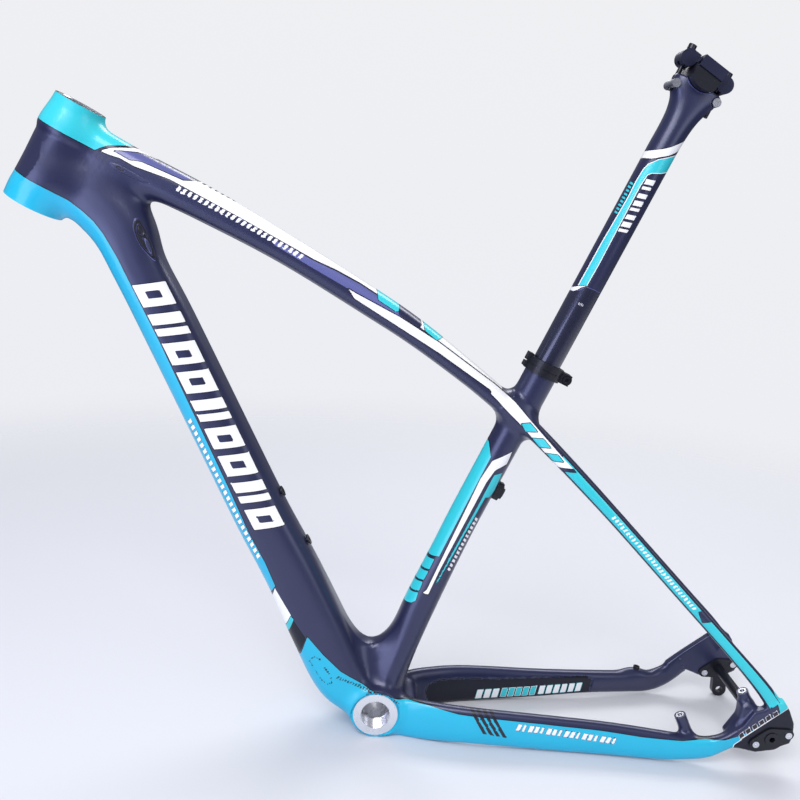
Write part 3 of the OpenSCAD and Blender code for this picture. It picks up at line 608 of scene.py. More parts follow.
FINISHES = {
    "navy": finish("carbon_navy", (0.0115, 0.0135, 0.046), rough=0.34, coat=0.5, coat_rough=0.28,
                   weave=0.35, spec=0.75, tint=(0.62, 0.66, 1.0)),
    "gloss": finish("carbon_gloss", (0.012, 0.013, 0.030), rough=0.24, coat=0.8, coat_rough=0.07,
                    weave=0.45, spec=0.7, tint=(0.66, 0.68, 1.0)),
    # periwinkle paint; on the top tube's shoulder it is also laid on as a painted highlight, the
    # sheen of light there
    "periwinkle_and_sheen": finish("paint_periwinkle_and_painted_sheen", (0.10, 0.11, 0.30), rough=0.34, coat=0.4,
                    coat_rough=0.18),
    # turquoise and sky take a lighter top colour on faces turned up: a painted highlight
    "turquoise": finish("paint_turquoise", (0.014, 0.46, 0.53), rough=0.36, coat=0.35,
                        coat_rough=0.16, top=(0.03, 0.60, 0.66)),
    "sky": finish("paint_sky_blue", (0.0015, 0.385, 0.60), rough=0.36, coat=0.35,
                  coat_rough=0.16, top=(0.005, 0.45, 0.62)),
    "white": finish("paint_white", (0.80, 0.80, 0.815), rough=0.38, coat=0.35, coat_rough=0.18,
                    var=0.02),
    "line": finish("paint_line", (0.005, 0.005, 0.014), rough=0.36, coat=0.3, coat_rough=0.2),
    "black": finish("paint_black", (0.004, 0.004, 0.009), rough=0.34, coat=0.22,
                    coat_rough=0.15, spec=0.4, tint=(0.7, 0.75, 1.0)),
    "laminate": finish("bare_laminate", (0.012, 0.013, 0.018), rough=0.6, weave=0.9, peel=0.3),
    "anodised": finish("black_anodised", (0.010, 0.011, 0.018), rough=0.36, metal=0.4,
                       grain=0.45, coat=0.15, wear=0.10),
    "blue_anodised": finish("blue_black_anodised", (0.018, 0.021, 0.055), rough=0.32, metal=0.55,
                            grain=0.35, coat=0.3, coat_rough=0.2, wear=0.06),
    "alloy": finish("turned_alloy", (0.86, 0.87, 0.90), rough=0.26, metal=1.0,
                    brushed=(60, 4000, 60), peel=0.05, var=0.04),
    "steel": finish("plated_steel", (0.70, 0.71, 0.74), rough=0.22, metal=1.0,
                    brushed=(900, 900, 900), peel=0.1, wear=0.1),
    "dark_steel": finish("blackened_steel", (0.04, 0.04, 0.05), rough=0.32, metal=0.9,
                         grain=0.4, wear=0.15),
    "rubber": finish("port_rubber", (0.008, 0.008, 0.012), rough=0.62, grain=0.9, peel=0.4,
                     spec=0.35),
}
MATERIALS = list(FINISHES.values())
NUMBER = {key: i for i, key in enumerate(FINISHES)}


# ---------------------------------------------------------------- building objects
def build(name, parts, slot, body="frame"):
    """One object from parts of (vertices, faces, finish number per face, vertex normals)."""
    starts = np.cumsum([0] + [len(part[0]) for part in parts])
    faces = np.concatenate([part[1] + start for part, start in zip(parts, starts)])
    verts, numbers, normals = (np.concatenate([part[i] for part in parts]) for i in (0, 2, 3))
    used, slots = np.unique(numbers, return_inverse=True)
    kept, inverse = np.unique(faces, return_inverse=True)
    mesh = bpy.data.meshes.new(name)
    mesh.from_pydata((verts[kept] * 0.001).tolist(), [], inverse.reshape(faces.shape).tolist())
    for i in used:
        mesh.materials.append(MATERIALS[i])
    mesh.polygons.foreach_set("material_index", slots.ravel().astype(np.int32))
    mesh.polygons.foreach_set("use_smooth", np.full(len(faces), True))
    mesh.update()
    mesh.normals_split_custom_set_from_vertices(normals[kept].tolist())
    made = bpy.data.objects.new(name, mesh)
    bpy.context.scene.collection.objects.link(made)
    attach(made, body)
    return made


def vertex_normals(verts, faces):
    a, b, c = (verts[faces[:, i]] for i in range(3))
    across = np.cross(b - a, c - a)
    out = np.zeros_like(verts)
    for i in range(3):
        np.add.at(out, faces[:, i], across)
    return out / np.maximum(np.linalg.norm(out, axis=1, keepdims=True), 1e-12)


def bore(profile, origin, axis, look, n=96):
    """Rows of height, radius spun round an axis, facing inward, with crisp bands."""
    verts = []
    faces = []
    for low, high in zip(profile, profile[1:]):
        base = len(verts)
        for height, radius in (low, high):
            for k in range(n):
                turn = 2 * math.pi * k / n
                verts.append((radius * math.cos(turn), radius * math.sin(turn), height))
        for k in range(n):
            a, b = base + k, base + (k + 1) % n
            faces += [(b + n, b, a), (a + n, b + n, a)]
    verts = np.array(verts)
    faces = np.array(faces)
    z = np.array(axis, float)
    z /= np.linalg.norm(z)
    x = np.cross([0, 1, 0] if abs(z[1]) < 0.9 else [1, 0, 0], z)
    x /= np.linalg.norm(x)
    y = np.cross(z, x)
    verts = np.array(origin) + verts[:, :1] * x + verts[:, 1:2] * y + verts[:, 2:3] * z
    return verts, faces, np.full(len(faces), NUMBER[look]), vertex_normals(verts, faces)


# ---------------------------------------------------------------- paint shapes
def inside(*outlines):
    def shape(x, y, z):
        d = np.full(x.shape, NEAR)
        for points in outlines:
            d = np.minimum(d, near_polygon(x, z, points))
        return d
    return shape


def overlap(first, second):
    return lambda x, y, z: np.maximum(first(x, y, z), second(x, y, z))


def contour(points, offset=0.0):
    """A thin line that follows an outline, so far outside it."""
    return lambda x, y, z: np.abs(near_polygon(x, z, points) - offset) - 0.35


def bars(start, end, count, height, fills, slant=0.35):
    """Slanted bars in a row. fills are the filled shares of each pitch, taken in turn."""
    start = np.array(start, float)
    along = np.array(end, float) - start
    length = np.linalg.norm(along)
    along /= length
    up = np.array([-along[1], along[0]]) * height / 2
    pitch = length / count
    lean = along * (height * slant) / 2
    out = []
    for i in range(count):
        a = start + along * (i * pitch)
        b = a + along * pitch * fills[i % len(fills)]
        out.append([a - lean - up, b - lean - up, b + lean + up, a + lean + up])
    return out


def block(tube, start, end, low, high, shift_low, shift_high):
    """A leaning block from arc start to end and height low to high on a tube."""
    return [tube.point(start + shift_low, low), tube.point(end + shift_low, low),
            tube.point(end + shift_high, high), tube.point(start + shift_high, high)]


def tube_bars(tube, start, end, count, low, high, fill, slant):
    pitch = (end - start) / count
    out = []
    for i in range(count):
        a = start + pitch * i
        out.append(block(tube, a, a + pitch * fill, low, high, 0, slant))
    return out


def stay_band(x, y, z):
    """The outer side of the seatstays, behind their upper ends."""
    up, out, row, _ = SEATSTAYS.local(x, y, z)
    return np.maximum.reduce([up - row[..., 3] * 0.62, -up - row[..., 3] * 0.72, 0.8 - out,
                              150 - x - (z - 322) * 0.1])


def stay_outer(x, y, z):
    return 1.2 - SEATSTAYS.local(x, y, z)[1]


def chain_outer(x, y, z, margin=0.0):
    """The left chainstay away from its inner side and lower edge."""
    up, out, row, _ = CHAINSTAY_L.local(x, y, z)
    return np.minimum(-out - 2.0, up + row[..., 3] * 0.55) + margin


def chain_outer_inset(x, y, z):
    return chain_outer(x, y, z, 0.6)


def belly_side(x, y, z):
    return np.where(x > 45, np.where(y < 0, chain_outer(x, y, z), 6.0), -6.0)


# Nine leaning blocks down the down tube; spans are shares of the pitch, repeating in threes
BLOCKS_START = DOWN_TUBE.arc_at(-309, 446)
BLOCK_PITCH = (DOWN_TUBE.arc_at(-146, 196) - BLOCKS_START) / 9
BLOCK_SPANS = ([(0.05, 0.80)], [(0.05, 0.42), (0.55, 0.80)], [(0.05, 0.80)])
NOTCH_SPANS = ([(0.30, 0.52)], [], [(0.34, 0.56)])


def block_row(spans, *shape):
    out = []
    for i in range(9):
        a = BLOCKS_START + i * BLOCK_PITCH
        for start, end in spans[i % 3]:
            out.append(block(DOWN_TUBE, a + start * BLOCK_PITCH, a + end * BLOCK_PITCH, *shape))
    return out


# ---------------------------------------------------------------- paint layout
# Pieces in label order, with the slot each one fills
PIECES = [("head_tube", "carbon_navy"), ("top_tube", "carbon_white"),
          ("down_tube", "carbon_navy"), ("seat_tube", "carbon_navy"),
          ("bb_shell", "carbon_cyan"), ("chainstay_left", "carbon_cyan"),
          ("chainstay_right", "carbon_navy"), ("seatstay_left", "carbon_cyan"),
          ("seatstay_right", "carbon_navy"), ("brake_posts", "carbon_navy")]
HEAD, TOP, DOWN, SEAT, SHELL, CHAIN_L, CHAIN_R, STAY_L, STAY_R, POSTS = range(10)
STAYS = {STAY_L, STAY_R}

# Outlines in side view: x, z
TOP_WHITE = [
    (-371, 568), (-362, 566), (-351, 564.5), (-336, 559), (-300, 552.5), (-224, 526),
    (-145, 497), (-122, 490.5), (-95, 481), (-54, 463), (-27, 446.5), (20, 421.5), (60, 399.5),
    (74, 392), (84, 400), (30, 470), (-300, 640), (-318, 600), (-338, 576.5), (-352, 574.5),
    (-362, 572)]
DOWN_UNDERSIDE = [
    (-500, 552.5), (-463, 538.8), (-397, 514.8), (-381, 506), (-370, 498.5), (-359, 487.5),
    (-342, 465.5), (-334, 453), (-292, 389), (-245, 313), (-199, 238), (-172, 192), (-150, 161),
    (-135, 135), (-139, 124), (-136, 117), (-200, 90), (-520, 420)]
BELLY = [
    (-91, 80), (-95, 57), (-118, 30), (-90, -60), (60, -60), (440, -20), (396, 20), (396, 50),
    (441, 97), (447, 112), (432, 106), (437, 97), (436, 90), (427, 80), (415, 71), (404, 64),
    (385, 54), (340, 43), (295, 38), (249, 35.5), (208, 32), (139, 27), (91, 23.5), (58, 24),
    (25, 21.5), (-11, 29.5), (-48, 46.5), (-70, 63), (-91, 82)]
STAY_DASHES = inside([(101, 360.5), (110, 363), (119, 355.5), (107, 353)],
                     [(115, 347.5), (126, 349.5), (135, 342), (123.5, 340)],
                     [(131.5, 335), (143, 336.5), (150, 330.5), (139, 329)])

# line is the width of the border round the shape, edge its finish; only faces whose y is
# under y_below take the paint. Later coats cover earlier ones.
Coat = namedtuple("Coat", "pieces look shape line edge y_below", defaults=(0, "line", math.inf))
FRAME_COATS = [
    # head tube and top tube
    Coat({HEAD, TOP}, "turquoise", inside([
        (-470, 602), (-443.7, 592.4), (-376, 567.9), (-371, 571), (-364, 574.5), (-345, 578),
        (-334, 579.5), (-300, 640), (-460, 720)]), line=1.0),
    Coat({TOP, HEAD, SEAT}, "white", inside(TOP_WHITE), line=1.1),
    # lighter periwinkle band along the top tube's shoulder under the white: a painted highlight,
    # the sheen of light on the shoulder
    Coat({TOP, HEAD}, "periwinkle_and_sheen", inside([
        (-357, 570.5), (-333, 572.5), (-312, 567), (-276, 555.5), (-287, 554), (-312, 560.5),
        (-330, 565), (-341, 564.5)]), line=0.9),
    # another lighter periwinkle band along the top tube's shoulder: a painted highlight
    Coat({TOP}, "periwinkle_and_sheen", inside([
        (-190, 510.5), (-145, 495.5), (-122, 489), (-95, 479.5), (-54, 461.5), (-27, 445),
        (20, 420), (55, 401), (20, 419), (-2, 431), (-48, 452), (-97, 469), (-106, 473),
        (-145, 488), (-188, 505)])),
    Coat({TOP, SEAT, STAY_L, STAY_R}, "white", inside([
        (-106, 473), (-97, 469.5), (-48, 452.5), (-2, 432.5), (65, 397.5), (90, 382.5),
        (112, 364), (150, 333.5), (162, 324.5), (146, 322.5), (101, 359), (84, 371),
        (72, 380.5), (63, 387), (62, 391), (0, 421.5), (-46, 441.5), (-98, 464)]), line=1.1),
    Coat({TOP}, "turquoise", inside(
        [(-78, 482), (-42, 465), (-42, 461), (-53, 457.5), (-73, 466.5)],
        [(-24, 458), (4, 444), (4, 439), (-5, 434.5), (-19, 442.5)]), line=0.7),
    Coat({TOP}, "navy", inside([(-50, 466), (-43, 463), (-27, 455), (-24, 448), (-26, 444.5),
                                (-49, 455.5)]), line=0.8),
    Coat({TOP}, "black", inside([(42, 421), (54, 415), (53, 411.5), (42, 417)]), line=0.5),
    Coat({TOP}, "white", inside(*tube_bars(TOP_TUBE, 118, 262, 24, 0.5, 6.0, 0.55, 1.6))),
    Coat({TOP}, "line", inside(*tube_bars(TOP_TUBE, 70, 270, 30, 17.2, 18.4, 0.45, 0.5))),
    # underside and lower moulding
    Coat({HEAD, DOWN}, "sky", inside(DOWN_UNDERSIDE), line=1.2),
    Coat({DOWN}, "white", inside([(-135, 132), (-112, 103), (-115, 90), (-130, 70), (-150, 95),
                                  (-137, 117)])),
    Coat({DOWN}, "turquoise", inside([(-112.5, 103), (-109, 99), (-112, 84), (-122, 62),
                                      (-127, 66), (-116, 89)]), line=0.7),
    Coat({DOWN}, "black", inside([(-108.5, 98), (-92, 79.5), (-97, 56), (-120, 40), (-124, 60),
                                  (-111.5, 84)])),
    Coat({DOWN, SHELL, CHAIN_L, CHAIN_R, STAY_L, POSTS, SEAT}, "sky",
         overlap(inside(BELLY), belly_side), line=1.0),
    Coat({SHELL, CHAIN_L, CHAIN_R, SEAT}, "navy", overlap(
        inside([(20, -60), (20, 60), (60, 60), (60, -60)]),
        lambda x, y, z: 21.0 - x + np.maximum(np.abs(y) - 22, 0) * 3)),
    Coat({SHELL, DOWN}, "line", contour([(-84, 53), (-80, 59), (-74, 58), (-57, 38), (-55, 31),
                                         (-60, 28), (-68, 33)])),
    Coat({DOWN, SHELL}, "line", inside(*bars((-50, 39), (30, 17), 26, 3.0, [0.5]))),
    # chainstays
    Coat({CHAIN_L}, "line", overlap(inside(*[
        [(102 + 7.6 * i, 32.5), (106.4 + 7.6 * i, 32.5), (126.4 + 7.6 * i, 7),
         (122 + 7.6 * i, 6.5)] for i in range(4)]), chain_outer_inset)),
    Coat({CHAIN_L}, "white", overlap(inside(
        *bars((158, 22), (272, 27), 17, 7.5, [0.62, 0.4, 0.7], 0.3)), chain_outer_inset),
        line=0.4),
    Coat({CHAIN_L, STAY_L, POSTS}, "turquoise", inside([
        (418, 73), (427, 80), (436, 90), (437, 97), (432, 106), (425, 120), (445, 125),
        (452, 108), (441, 97), (420, 70)]), y_below=-70),
    Coat({CHAIN_L, STAY_L}, "black", inside([
        (396, 50), (441, 97), (452, 108), (475, 95), (475, 30), (400, 20)]),
        line=0.9, edge="white", y_below=-60),
    Coat({CHAIN_L, STAY_L}, "line", inside(*bars((400, 60), (437, 98), 6, 5.2, [0.62], 0.2)),
         line=0.4, edge="white", y_below=-60),
    Coat({CHAIN_R}, "white", inside(*bars((128, -2), (158, 3), 3, 12, [0.72], 0.25),
                                    *bars((206, 12), (262, 22), 6, 11, [0.7], 0.25)),
         line=0.5, edge="turquoise"),
    Coat({CHAIN_R}, "turquoise", inside(
        *bars((159, 3.5), (204, 11.5), 5, 11.5, [0.72], 0.25)), line=0.5, edge="white"),
    # seat tube
    Coat({SEAT}, "turquoise", inside([
        (60, 345), (72.5, 332), (76.5, 316), (41, 193.5), (27, 190), (0, 183), (0, 260),
        (40, 345)]), line=1.1),
    Coat({SEAT}, "turquoise", inside(
        [(36.5, 188.5), (0, 182), (0, 168.5), (33, 176)],
        [(32.5, 173.5), (0, 166.5), (0, 155), (29, 162.5)],
        [(28.3, 160), (0, 153), (0, 141.5), (26, 149)],
        [(25.3, 146.5), (0, 139.5), (0, 126), (20, 133), (24, 137)]), line=0.8),
    Coat({SEAT, STAY_L, STAY_R}, "white", inside([
        (99, 326), (79, 313), (70, 290), (34, 152), (30, 148), (36.5, 147), (44, 177),
        (77, 288), (84, 303), (96, 311)]), line=0.9),
    Coat({SEAT}, "turquoise", inside([
        (93, 300), (84, 297), (76.5, 272), (75.5, 268), (43, 162), (45.5, 166), (79.5, 270),
        (84, 269.5), (89, 277)]), line=0.8),
    Coat({SEAT}, "white", inside(*bars((75, 244), (54, 176), 13, 4.2, [0.6]))),
    # seatstays; the dashes are cut before and after the white that lies between them
    Coat(STAYS, "turquoise", stay_band, line=0.8),
    Coat(STAYS | {SEAT}, "turquoise", STAY_DASHES, line=0.8),
    Coat(STAYS, "white", inside([(96, 372), (112, 364), (150, 333.5), (162, 324.5),
                                 (146, 322.5), (101, 359)])),
    Coat(STAYS | {SEAT}, "turquoise", STAY_DASHES, line=0.8),
    Coat(STAYS, "navy", inside([(145, 323), (162, 325), (165, 322), (148, 320)],
                               [(325, 193), (335, 196), (346, 186), (332, 182)]), line=0.5),
    Coat(STAYS, "white", overlap(
        inside(*tube_bars(SEATSTAYS, 160, 300, 30, -2.2, 2.2, 0.5, 1.2)), stay_outer)),
    # down tube blocks
    Coat({DOWN}, "white", inside(*block_row(BLOCK_SPANS, -9.5, 22, -6, 4)), line=1.0),
    Coat({DOWN}, "navy", inside(*block_row(NOTCH_SPANS, 0, 13, -3, 1.5)), line=0.5),
    Coat({DOWN}, "white", inside(*tube_bars(
        DOWN_TUBE, DOWN_TUBE.arc_at(-246, 313), DOWN_TUBE.arc_at(-150, 168), 24,
        -18.0, -23.0, 0.6, 2.0)), line=0.4),
]


def paint(verts, faces, label, coats):
    """Cuts the mesh along every coat's outline, then gives each face its finish number."""
    for coat in coats:
        for offset in ((0.0, coat.line) if coat.line else (0.0,)):
            chosen = np.isin(label, list(coat.pieces))
            verts, faces, source = split(verts, faces, coat.shape(*verts.T) - offset, chosen)
            label = label[source]
    centre = verts[faces].mean(1)
    numbers = np.full(len(faces), NUMBER["navy"])
    for coat in coats:
        chosen = np.isin(label, list(coat.pieces)) & (centre[:, 1] < coat.y_below)
        value = coat.shape(*centre.T)
        numbers[chosen & (value >= 0) & (value < coat.line)] = NUMBER[coat.edge]
        numbers[chosen & (value < 0)] = NUMBER[coat.look]
    return verts, faces, label, numbers


# ---------------------------------------------------------------- the blended skin
SKIN_CELL = 2.25
SKIN_LOW = np.array([-478.0, -90.0, -44.0])
SKIN_HIGH = np.array([474.0, 90.0, 634.0])
BATCH = 12000                    # grid columns worked out at a time


def skin_mesh():
    xs, ys, zs = grid_axes(SKIN_LOW, SKIN_HIGH, SKIN_CELL)
    x, z = np.meshgrid(xs, zs, indexing="ij")
    # only columns that pass close to a piece are worked out
    near = np.hypot(x, z) < 44
    for tube in TUBES:
        up, _, row, past = tube.local(x, np.zeros(x.shape), z)
        near |= (np.abs(up) < row[..., 3] + 12) & (past < 12)
    for plate in (END_L, END_R):
        near |= polygon(x, z, plate) < 10
    along, across = head_local(x, z)
    near |= (np.abs(across) < 42) & (along > -16) & (along < HEAD_LENGTH + 16)
    for foot in BRAKE_POSTS:
        near |= np.hypot(x - foot[0], z - foot[2]) < 46
    columns = np.stack(np.nonzero(near))
    count = len(ys)
    values = np.full((len(xs), len(zs), count), 9.0, np.float32)
    for start in range(0, columns.shape[1], BATCH):
        i, k = columns[:, start:start + BATCH]
        values[i, k] = skin(np.repeat(xs[i], count), np.tile(ys, len(i)),
                            np.repeat(zs[k], count)).reshape(len(i), count)
    values = np.transpose(values, (0, 2, 1)).astype(np.float64)
    verts, faces = surface_nets(values, SKIN_LOW, SKIN_CELL)
    return project(skin, verts, 3), faces


def post_cut(foot):
    """The flat end and the bore of one brake post."""
    return lambda x, y, z: np.minimum(
        (x - foot[0]) * POST_DIR[0] + (z - foot[2]) * POST_DIR[2],
        np.minimum(11 - np.hypot(x - foot[0], z - foot[2]), 9 - np.abs(y - FRONT_POST[1])))


def boss_cut(centre):
    """A hole square to the down tube."""
    def cut(x, y, z):
        dx, dz = x - centre[0], z - centre[1]
        return np.minimum(3.45 - np.hypot(y, dx * BOSS_DIR[0] + dz * BOSS_DIR[1]),
                          9 - np.abs(dx * BOSS_OUT[0] + dz * BOSS_OUT[1]))
    return cut


def clamp_slot(x, y, z):
    """The slot down the back of the seat tube, with a round foot."""
    back, along = seat_local(x, z)
    slot = np.maximum(np.minimum(1.0 - np.abs(y), along - 416), 2.5 - np.hypot(y, along - 416))
    return np.minimum(slot, np.minimum(back - 5, along - 380))


# Skin is taken away where a cut is positive
CUTS = [
    # top and bottom of the head tube, top of the seat tube
    lambda x, y, z: np.minimum(head_local(x, z)[0] - HEAD_LENGTH, -370 - x),
    lambda x, y, z: np.minimum(-head_local(x, z)[0], -409 - x),
    lambda x, y, z: np.minimum(np.minimum(seat_local(x, z)[1] - 446, z - 390), x - 60),
    # bottom bracket and axle holes
    lambda x, y, z: np.minimum(20.2 - np.hypot(x, z), np.abs(y) - 20),
    lambda x, y, z: np.minimum(11.0 - np.hypot(x - AXLE[0], z - AXLE[1]), np.abs(y) - 60),
    *map(post_cut, BRAKE_POSTS), *map(boss_cut, BOSSES), clamp_slot]

verts, faces = skin_mesh()
for cut in CUTS:
    verts, faces, _ = split(verts, faces, cut(*verts.T))
    faces = faces[cut(*verts[faces].mean(1).T) <= 0]
label = nearest_piece(*verts[faces].mean(1).T)
verts, faces, label, numbers = paint(verts, faces, label, FRAME_COATS)
normals, _ = gradient(skin, verts, 0.5)
# unpainted faces on the inner part of the chainstays, within the panel's outline, are black
x, y, z = verts[faces].mean(1).T
panel_faces = np.isin(label, [CHAIN_R, CHAIN_L]) & (numbers == NUMBER["navy"])
panel_faces &= (polygon(x, z, PANEL) < -1.2) & (CHAINSTAY_R.local(x, np.abs(y), z)[1] < 0)
numbers[panel_faces] = NUMBER["black"]

# Bores added to the skins: height, radius
HEAD_BORE = [[0, 30.2], [0, 28.1], [14, 28.1], [14, 24.5], [74, 19.5], [104, 19.5],
             [104, 23.1], [114, 23.1], [114, 26.2]]
SEAT_BORE = [[330, 15.5], [446, 15.5], [446, 17.8]]
POST_BORE = [[-18, 4.55], [0, 4.55], [0, 6.5]]
seat_x, seat_z = seat_point(0)
bores = {
    HEAD: [bore(HEAD_BORE, (HEAD_BASE[0], 0, HEAD_BASE[1]), (HEAD_DIR[0], 0, HEAD_DIR[1]),
                "laminate")],
    SEAT: [bore(SEAT_BORE, (seat_x, 0, seat_z), (SEAT_COS, 0, SEAT_SIN), "laminate")],
    POSTS: [bore(POST_BORE, foot, POST_DIR, "navy", 48) for foot in BRAKE_POSTS]}
for number, (name, slot) in enumerate(PIECES):
    own = label == number
    parts = [(verts, faces[own], numbers[own], normals)] + bores.get(number, [])
    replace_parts(build(name + "_skin", parts, slot), name)

# ---------------------------------------------------------------- the seatpost
# Worked out in seat tube axes: x behind the axis, y, and z along it
# Head: along, centre x, half depth, half width, squareness
POST_HEAD = spline([
    [690, 0, 15.45, 15.45, 2.0], [700, 0, 15.45, 15.45, 2.0], [716, 0.5, 15.6, 15.4, 2.05],
    [728, 1.0, 16.3, 15.2, 2.15], [738, 1.5, 17.8, 15, 2.3], [748, 1.8, 20.8, 14.8, 2.5],
    [757, 1.4, 25.4, 14.6, 2.7], [765, 1, 27.4, 14.4, 2.8], [774, 0.8, 27, 14.2, 2.8]], 8)


def seatpost(x, y, z):
    centre, depth, width, power = (np.interp(z, POST_HEAD[:, 0], POST_HEAD[:, i])
                                   for i in range(1, 5))
    d = superellipse(x - centre, y, depth, width, power)
    d = np.maximum(d, 390.2 - z)
    # the round cradle seat and the sloped top in front of and behind it
    d = smax(d, 21.1 - np.hypot(x, z - CRADLE_S), 1.4)
    d = smax(d, z - np.where(x < 0, CRADLE_S - 13.4, CRADLE_S - 14.8), 3.0)
    # front and rear: a cross hole and the bolt hole above it
    for side, drop in ((-1, -24.5), (1, -22.5)):
        dx = x - side * 23.5
        d = np.maximum(d, 4.62 - np.hypot(dx, z - CRADLE_S - drop))
        d = np.maximum(d, np.where(z > CRADLE_S + drop - 14, 2.95 - np.hypot(dx, y), -9))
    return d


def from_seat_axes(points, start_x=0):
    x, y, z = points.T
    return np.stack([start_x + SEAT_SIN * x + SEAT_COS * z, y, -SEAT_COS * x + SEAT_SIN * z], 1)


POST_STRIPE = [
    (-10.1, 671.1), (-8.6, 676.6), (-2.1, 684.6), (5, 690), (12.2, 696.1), (22, 705), (22, 688),
    (14.7, 679.9), (7, 674.5), (-2.3, 670.1), (-5.1, 666.4), (-6.2, 653.9), (-6, 629.7),
    (-5.7, 598.9), (-5.3, 567.7), (-5.7, 539.1), (-12, 535.5), (-11.7, 587.4), (-10.9, 615.8),
    (-10.4, 638.9), (-10.9, 657.9)]
WHOLE = {0}
SEATPOST_COATS = [
    Coat(WHOLE, "gloss", inside([
        (-40, 526), (-14.9, 528), (-9.9, 530.8), (-5.7, 537.5), (4, 538.6), (40, 539), (40, 380),
        (-40, 380)]), line=0.5, edge="periwinkle_and_sheen"),
    Coat(WHOLE, "white", inside([
        (-22, 684), (-13.9, 689.4), (-4, 695.5), (3.3, 701.6), (13.5, 712.8), (22, 724),
        (22, 714), (16.9, 707.7), (11.5, 699.6), (5.2, 693.1), (-8.8, 682.9), (-14.8, 681),
        (-22, 677)]), line=0.9),
    Coat(WHOLE, "turquoise", inside(POST_STRIPE), line=0.8, edge="white"),
    Coat(WHOLE, "line", contour(POST_STRIPE, 1.1)),
    Coat(WHOLE, "white", inside([
        (-22, 534), (-15.5, 531.5), (-12, 535.2), (-5.7, 538.8), (-9.3, 535), (-10.8, 532),
        (-13.6, 528.2), (-22, 526)]), line=0.5),
    Coat(WHOLE, "white", inside(
        *bars((1.2, 664), (0.8, 600), 8, 9.5, [0.7, 0.42, 0.62], -0.28)), line=0.7),
    Coat(WHOLE, "turquoise", inside(*bars((-13.6, 654), (-13.4, 617), 9, 2.4, [0.5]))),
    Coat(WHOLE, "white", inside(*bars((-4, 519), (2.0, 519), 4, 2.6, [0.35], 0.0))),
    Coat(WHOLE, "periwinkle_and_sheen", lambda x, y, z: np.where(
        z > 755, np.abs(np.hypot(x, z - CRADLE_S) - 22.0) - 0.45, 6.0)),
]
POST_CELL = 1.25
POST_GRID_LOW = np.array([-31.0, -19.0, 386.0])
POST_GRID_HIGH = np.array([32.0, 19.0, 776.0])
grid = np.meshgrid(*grid_axes(POST_GRID_LOW, POST_GRID_HIGH, POST_CELL), indexing="ij")
post_verts, post_faces = surface_nets(seatpost(*grid), POST_GRID_LOW, POST_CELL)
post_verts = project(seatpost, post_verts, 3, 0.8)
post_verts, post_faces, _, post_numbers = paint(
    post_verts, post_faces, np.zeros(len(post_faces), int), SEATPOST_COATS)
post_normals, _ = gradient(seatpost, post_verts, 0.25)
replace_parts(build("seatpost_skin", [(from_seat_axes(post_verts, SEAT_X), post_faces,
                                     post_numbers, from_seat_axes(post_normals))],
                  "carbon_navy", body="seatpost"), "seatpost")


# ---------------------------------------------------------------- cable ports
def surface_y(x, z, side):
    """Walks in from one side to the skin."""
    y = np.full(x.shape, 48.0 * side)
    for _ in range(60):
        y = y - side * np.clip(skin(x, y, z), -1, 6) * 0.9
    return np.where(y * side < 8, 8.0 * side, y)


def plug(points, side, rings, n=40):
    """A closed smooth outline laid on the skin, in rings of scale, height, finish."""
    points = np.array(points, float)
    centre = points.mean(0)
    m = len(points)
    t = np.linspace(0, m, n, endpoint=False)
    i = t.astype(int)
    rim = catmull(*[points[(i + j) % m] for j in (-1, 0, 1, 2)], (t - i)[:, None])
    verts, faces, looks = [], [], []
    for level, (scale, height, look) in enumerate(rings):
        x, z = (centre + (rim - centre) * scale).T
        ring = np.stack([x, surface_y(x, z, side), z], 1)
        verts.append(ring + gradient(skin, ring, 0.6)[0] * height)
        if level:
            for k in range(n):
                a, b = (level - 1) * n + k, (level - 1) * n + (k + 1) % n
                faces += [(a, b + n, b), (a, a + n, b + n)]
                looks += [NUMBER[look]] * 2
    verts = np.concatenate(verts)
    middle = len(verts)
    last = middle - n
    verts = np.vstack([verts, verts[last:].mean(0)])
    for k in range(n):
        faces.append((last + k, middle, last + (k + 1) % n))
        looks.append(NUMBER[look])
    faces = np.array(faces)
    if side > 0:
        faces = faces[:, [0, 2, 1]]
    return verts, faces, np.array(looks), vertex_normals(verts, faces)


# Outline in side view, rings of scale, height and finish, points round the rim
PLUGS = [
    ([(-329, 506), (-324.5, 505.5), (-316, 493), (-308, 477), (-306.5, 470.5), (-312, 474),
      (-322, 484), (-329, 497)],
     [(1.12, -0.6, "navy"), (1.06, 0.7, "periwinkle_and_sheen"), (0.98, 0.9, "navy"), (0.9, 0.5, "line"),
      (0.84, -0.1, "rubber"), (0.5, 0.15, "rubber")], 40),
    ([(-326.5, 502.5), (-322.5, 501), (-319, 495), (-321, 492.5), (-326, 496)],
     [(1.15, 0.0, "rubber"), (1.05, 1.0, "navy"), (0.9, 1.0, "navy"), (0.75, 0.3, "line"),
      (0.3, 0.2, "line")], 24),
    ([(-318, 489), (-315.5, 488), (-310, 477), (-311, 475.5), (-315.5, 482)],
     [(1.15, 0.0, "rubber"), (1.0, 0.9, "navy"), (0.8, 1.0, "periwinkle_and_sheen"), (0.4, 1.0, "navy")], 24),
    ([(-358, 558), (-352, 558), (-338, 553.5), (-321, 546), (-328, 545.5), (-345, 550),
      (-356, 554)],
     [(1.12, -0.5, "navy"), (1.05, 0.6, "periwinkle_and_sheen"), (0.9, 0.9, "navy"), (0.72, 0.9, "navy"),
      (0.5, 0.8, "navy")], 40),
    ([(-354, 556.5), (-350, 556.3), (-344, 552.5), (-347, 551.5), (-352.5, 554)],
     [(1.1, 0.4, "line"), (0.95, 1.2, "periwinkle_and_sheen"), (0.75, 1.1, "line"), (0.3, 0.5, "rubber")], 24)]
plugs = [plug(points, side, rings, n) for side in (-1, 1) for points, rings, n in PLUGS]
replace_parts(build("cable_port_plugs_moulded", plugs, "black_rubber"), "cable_port_plugs")

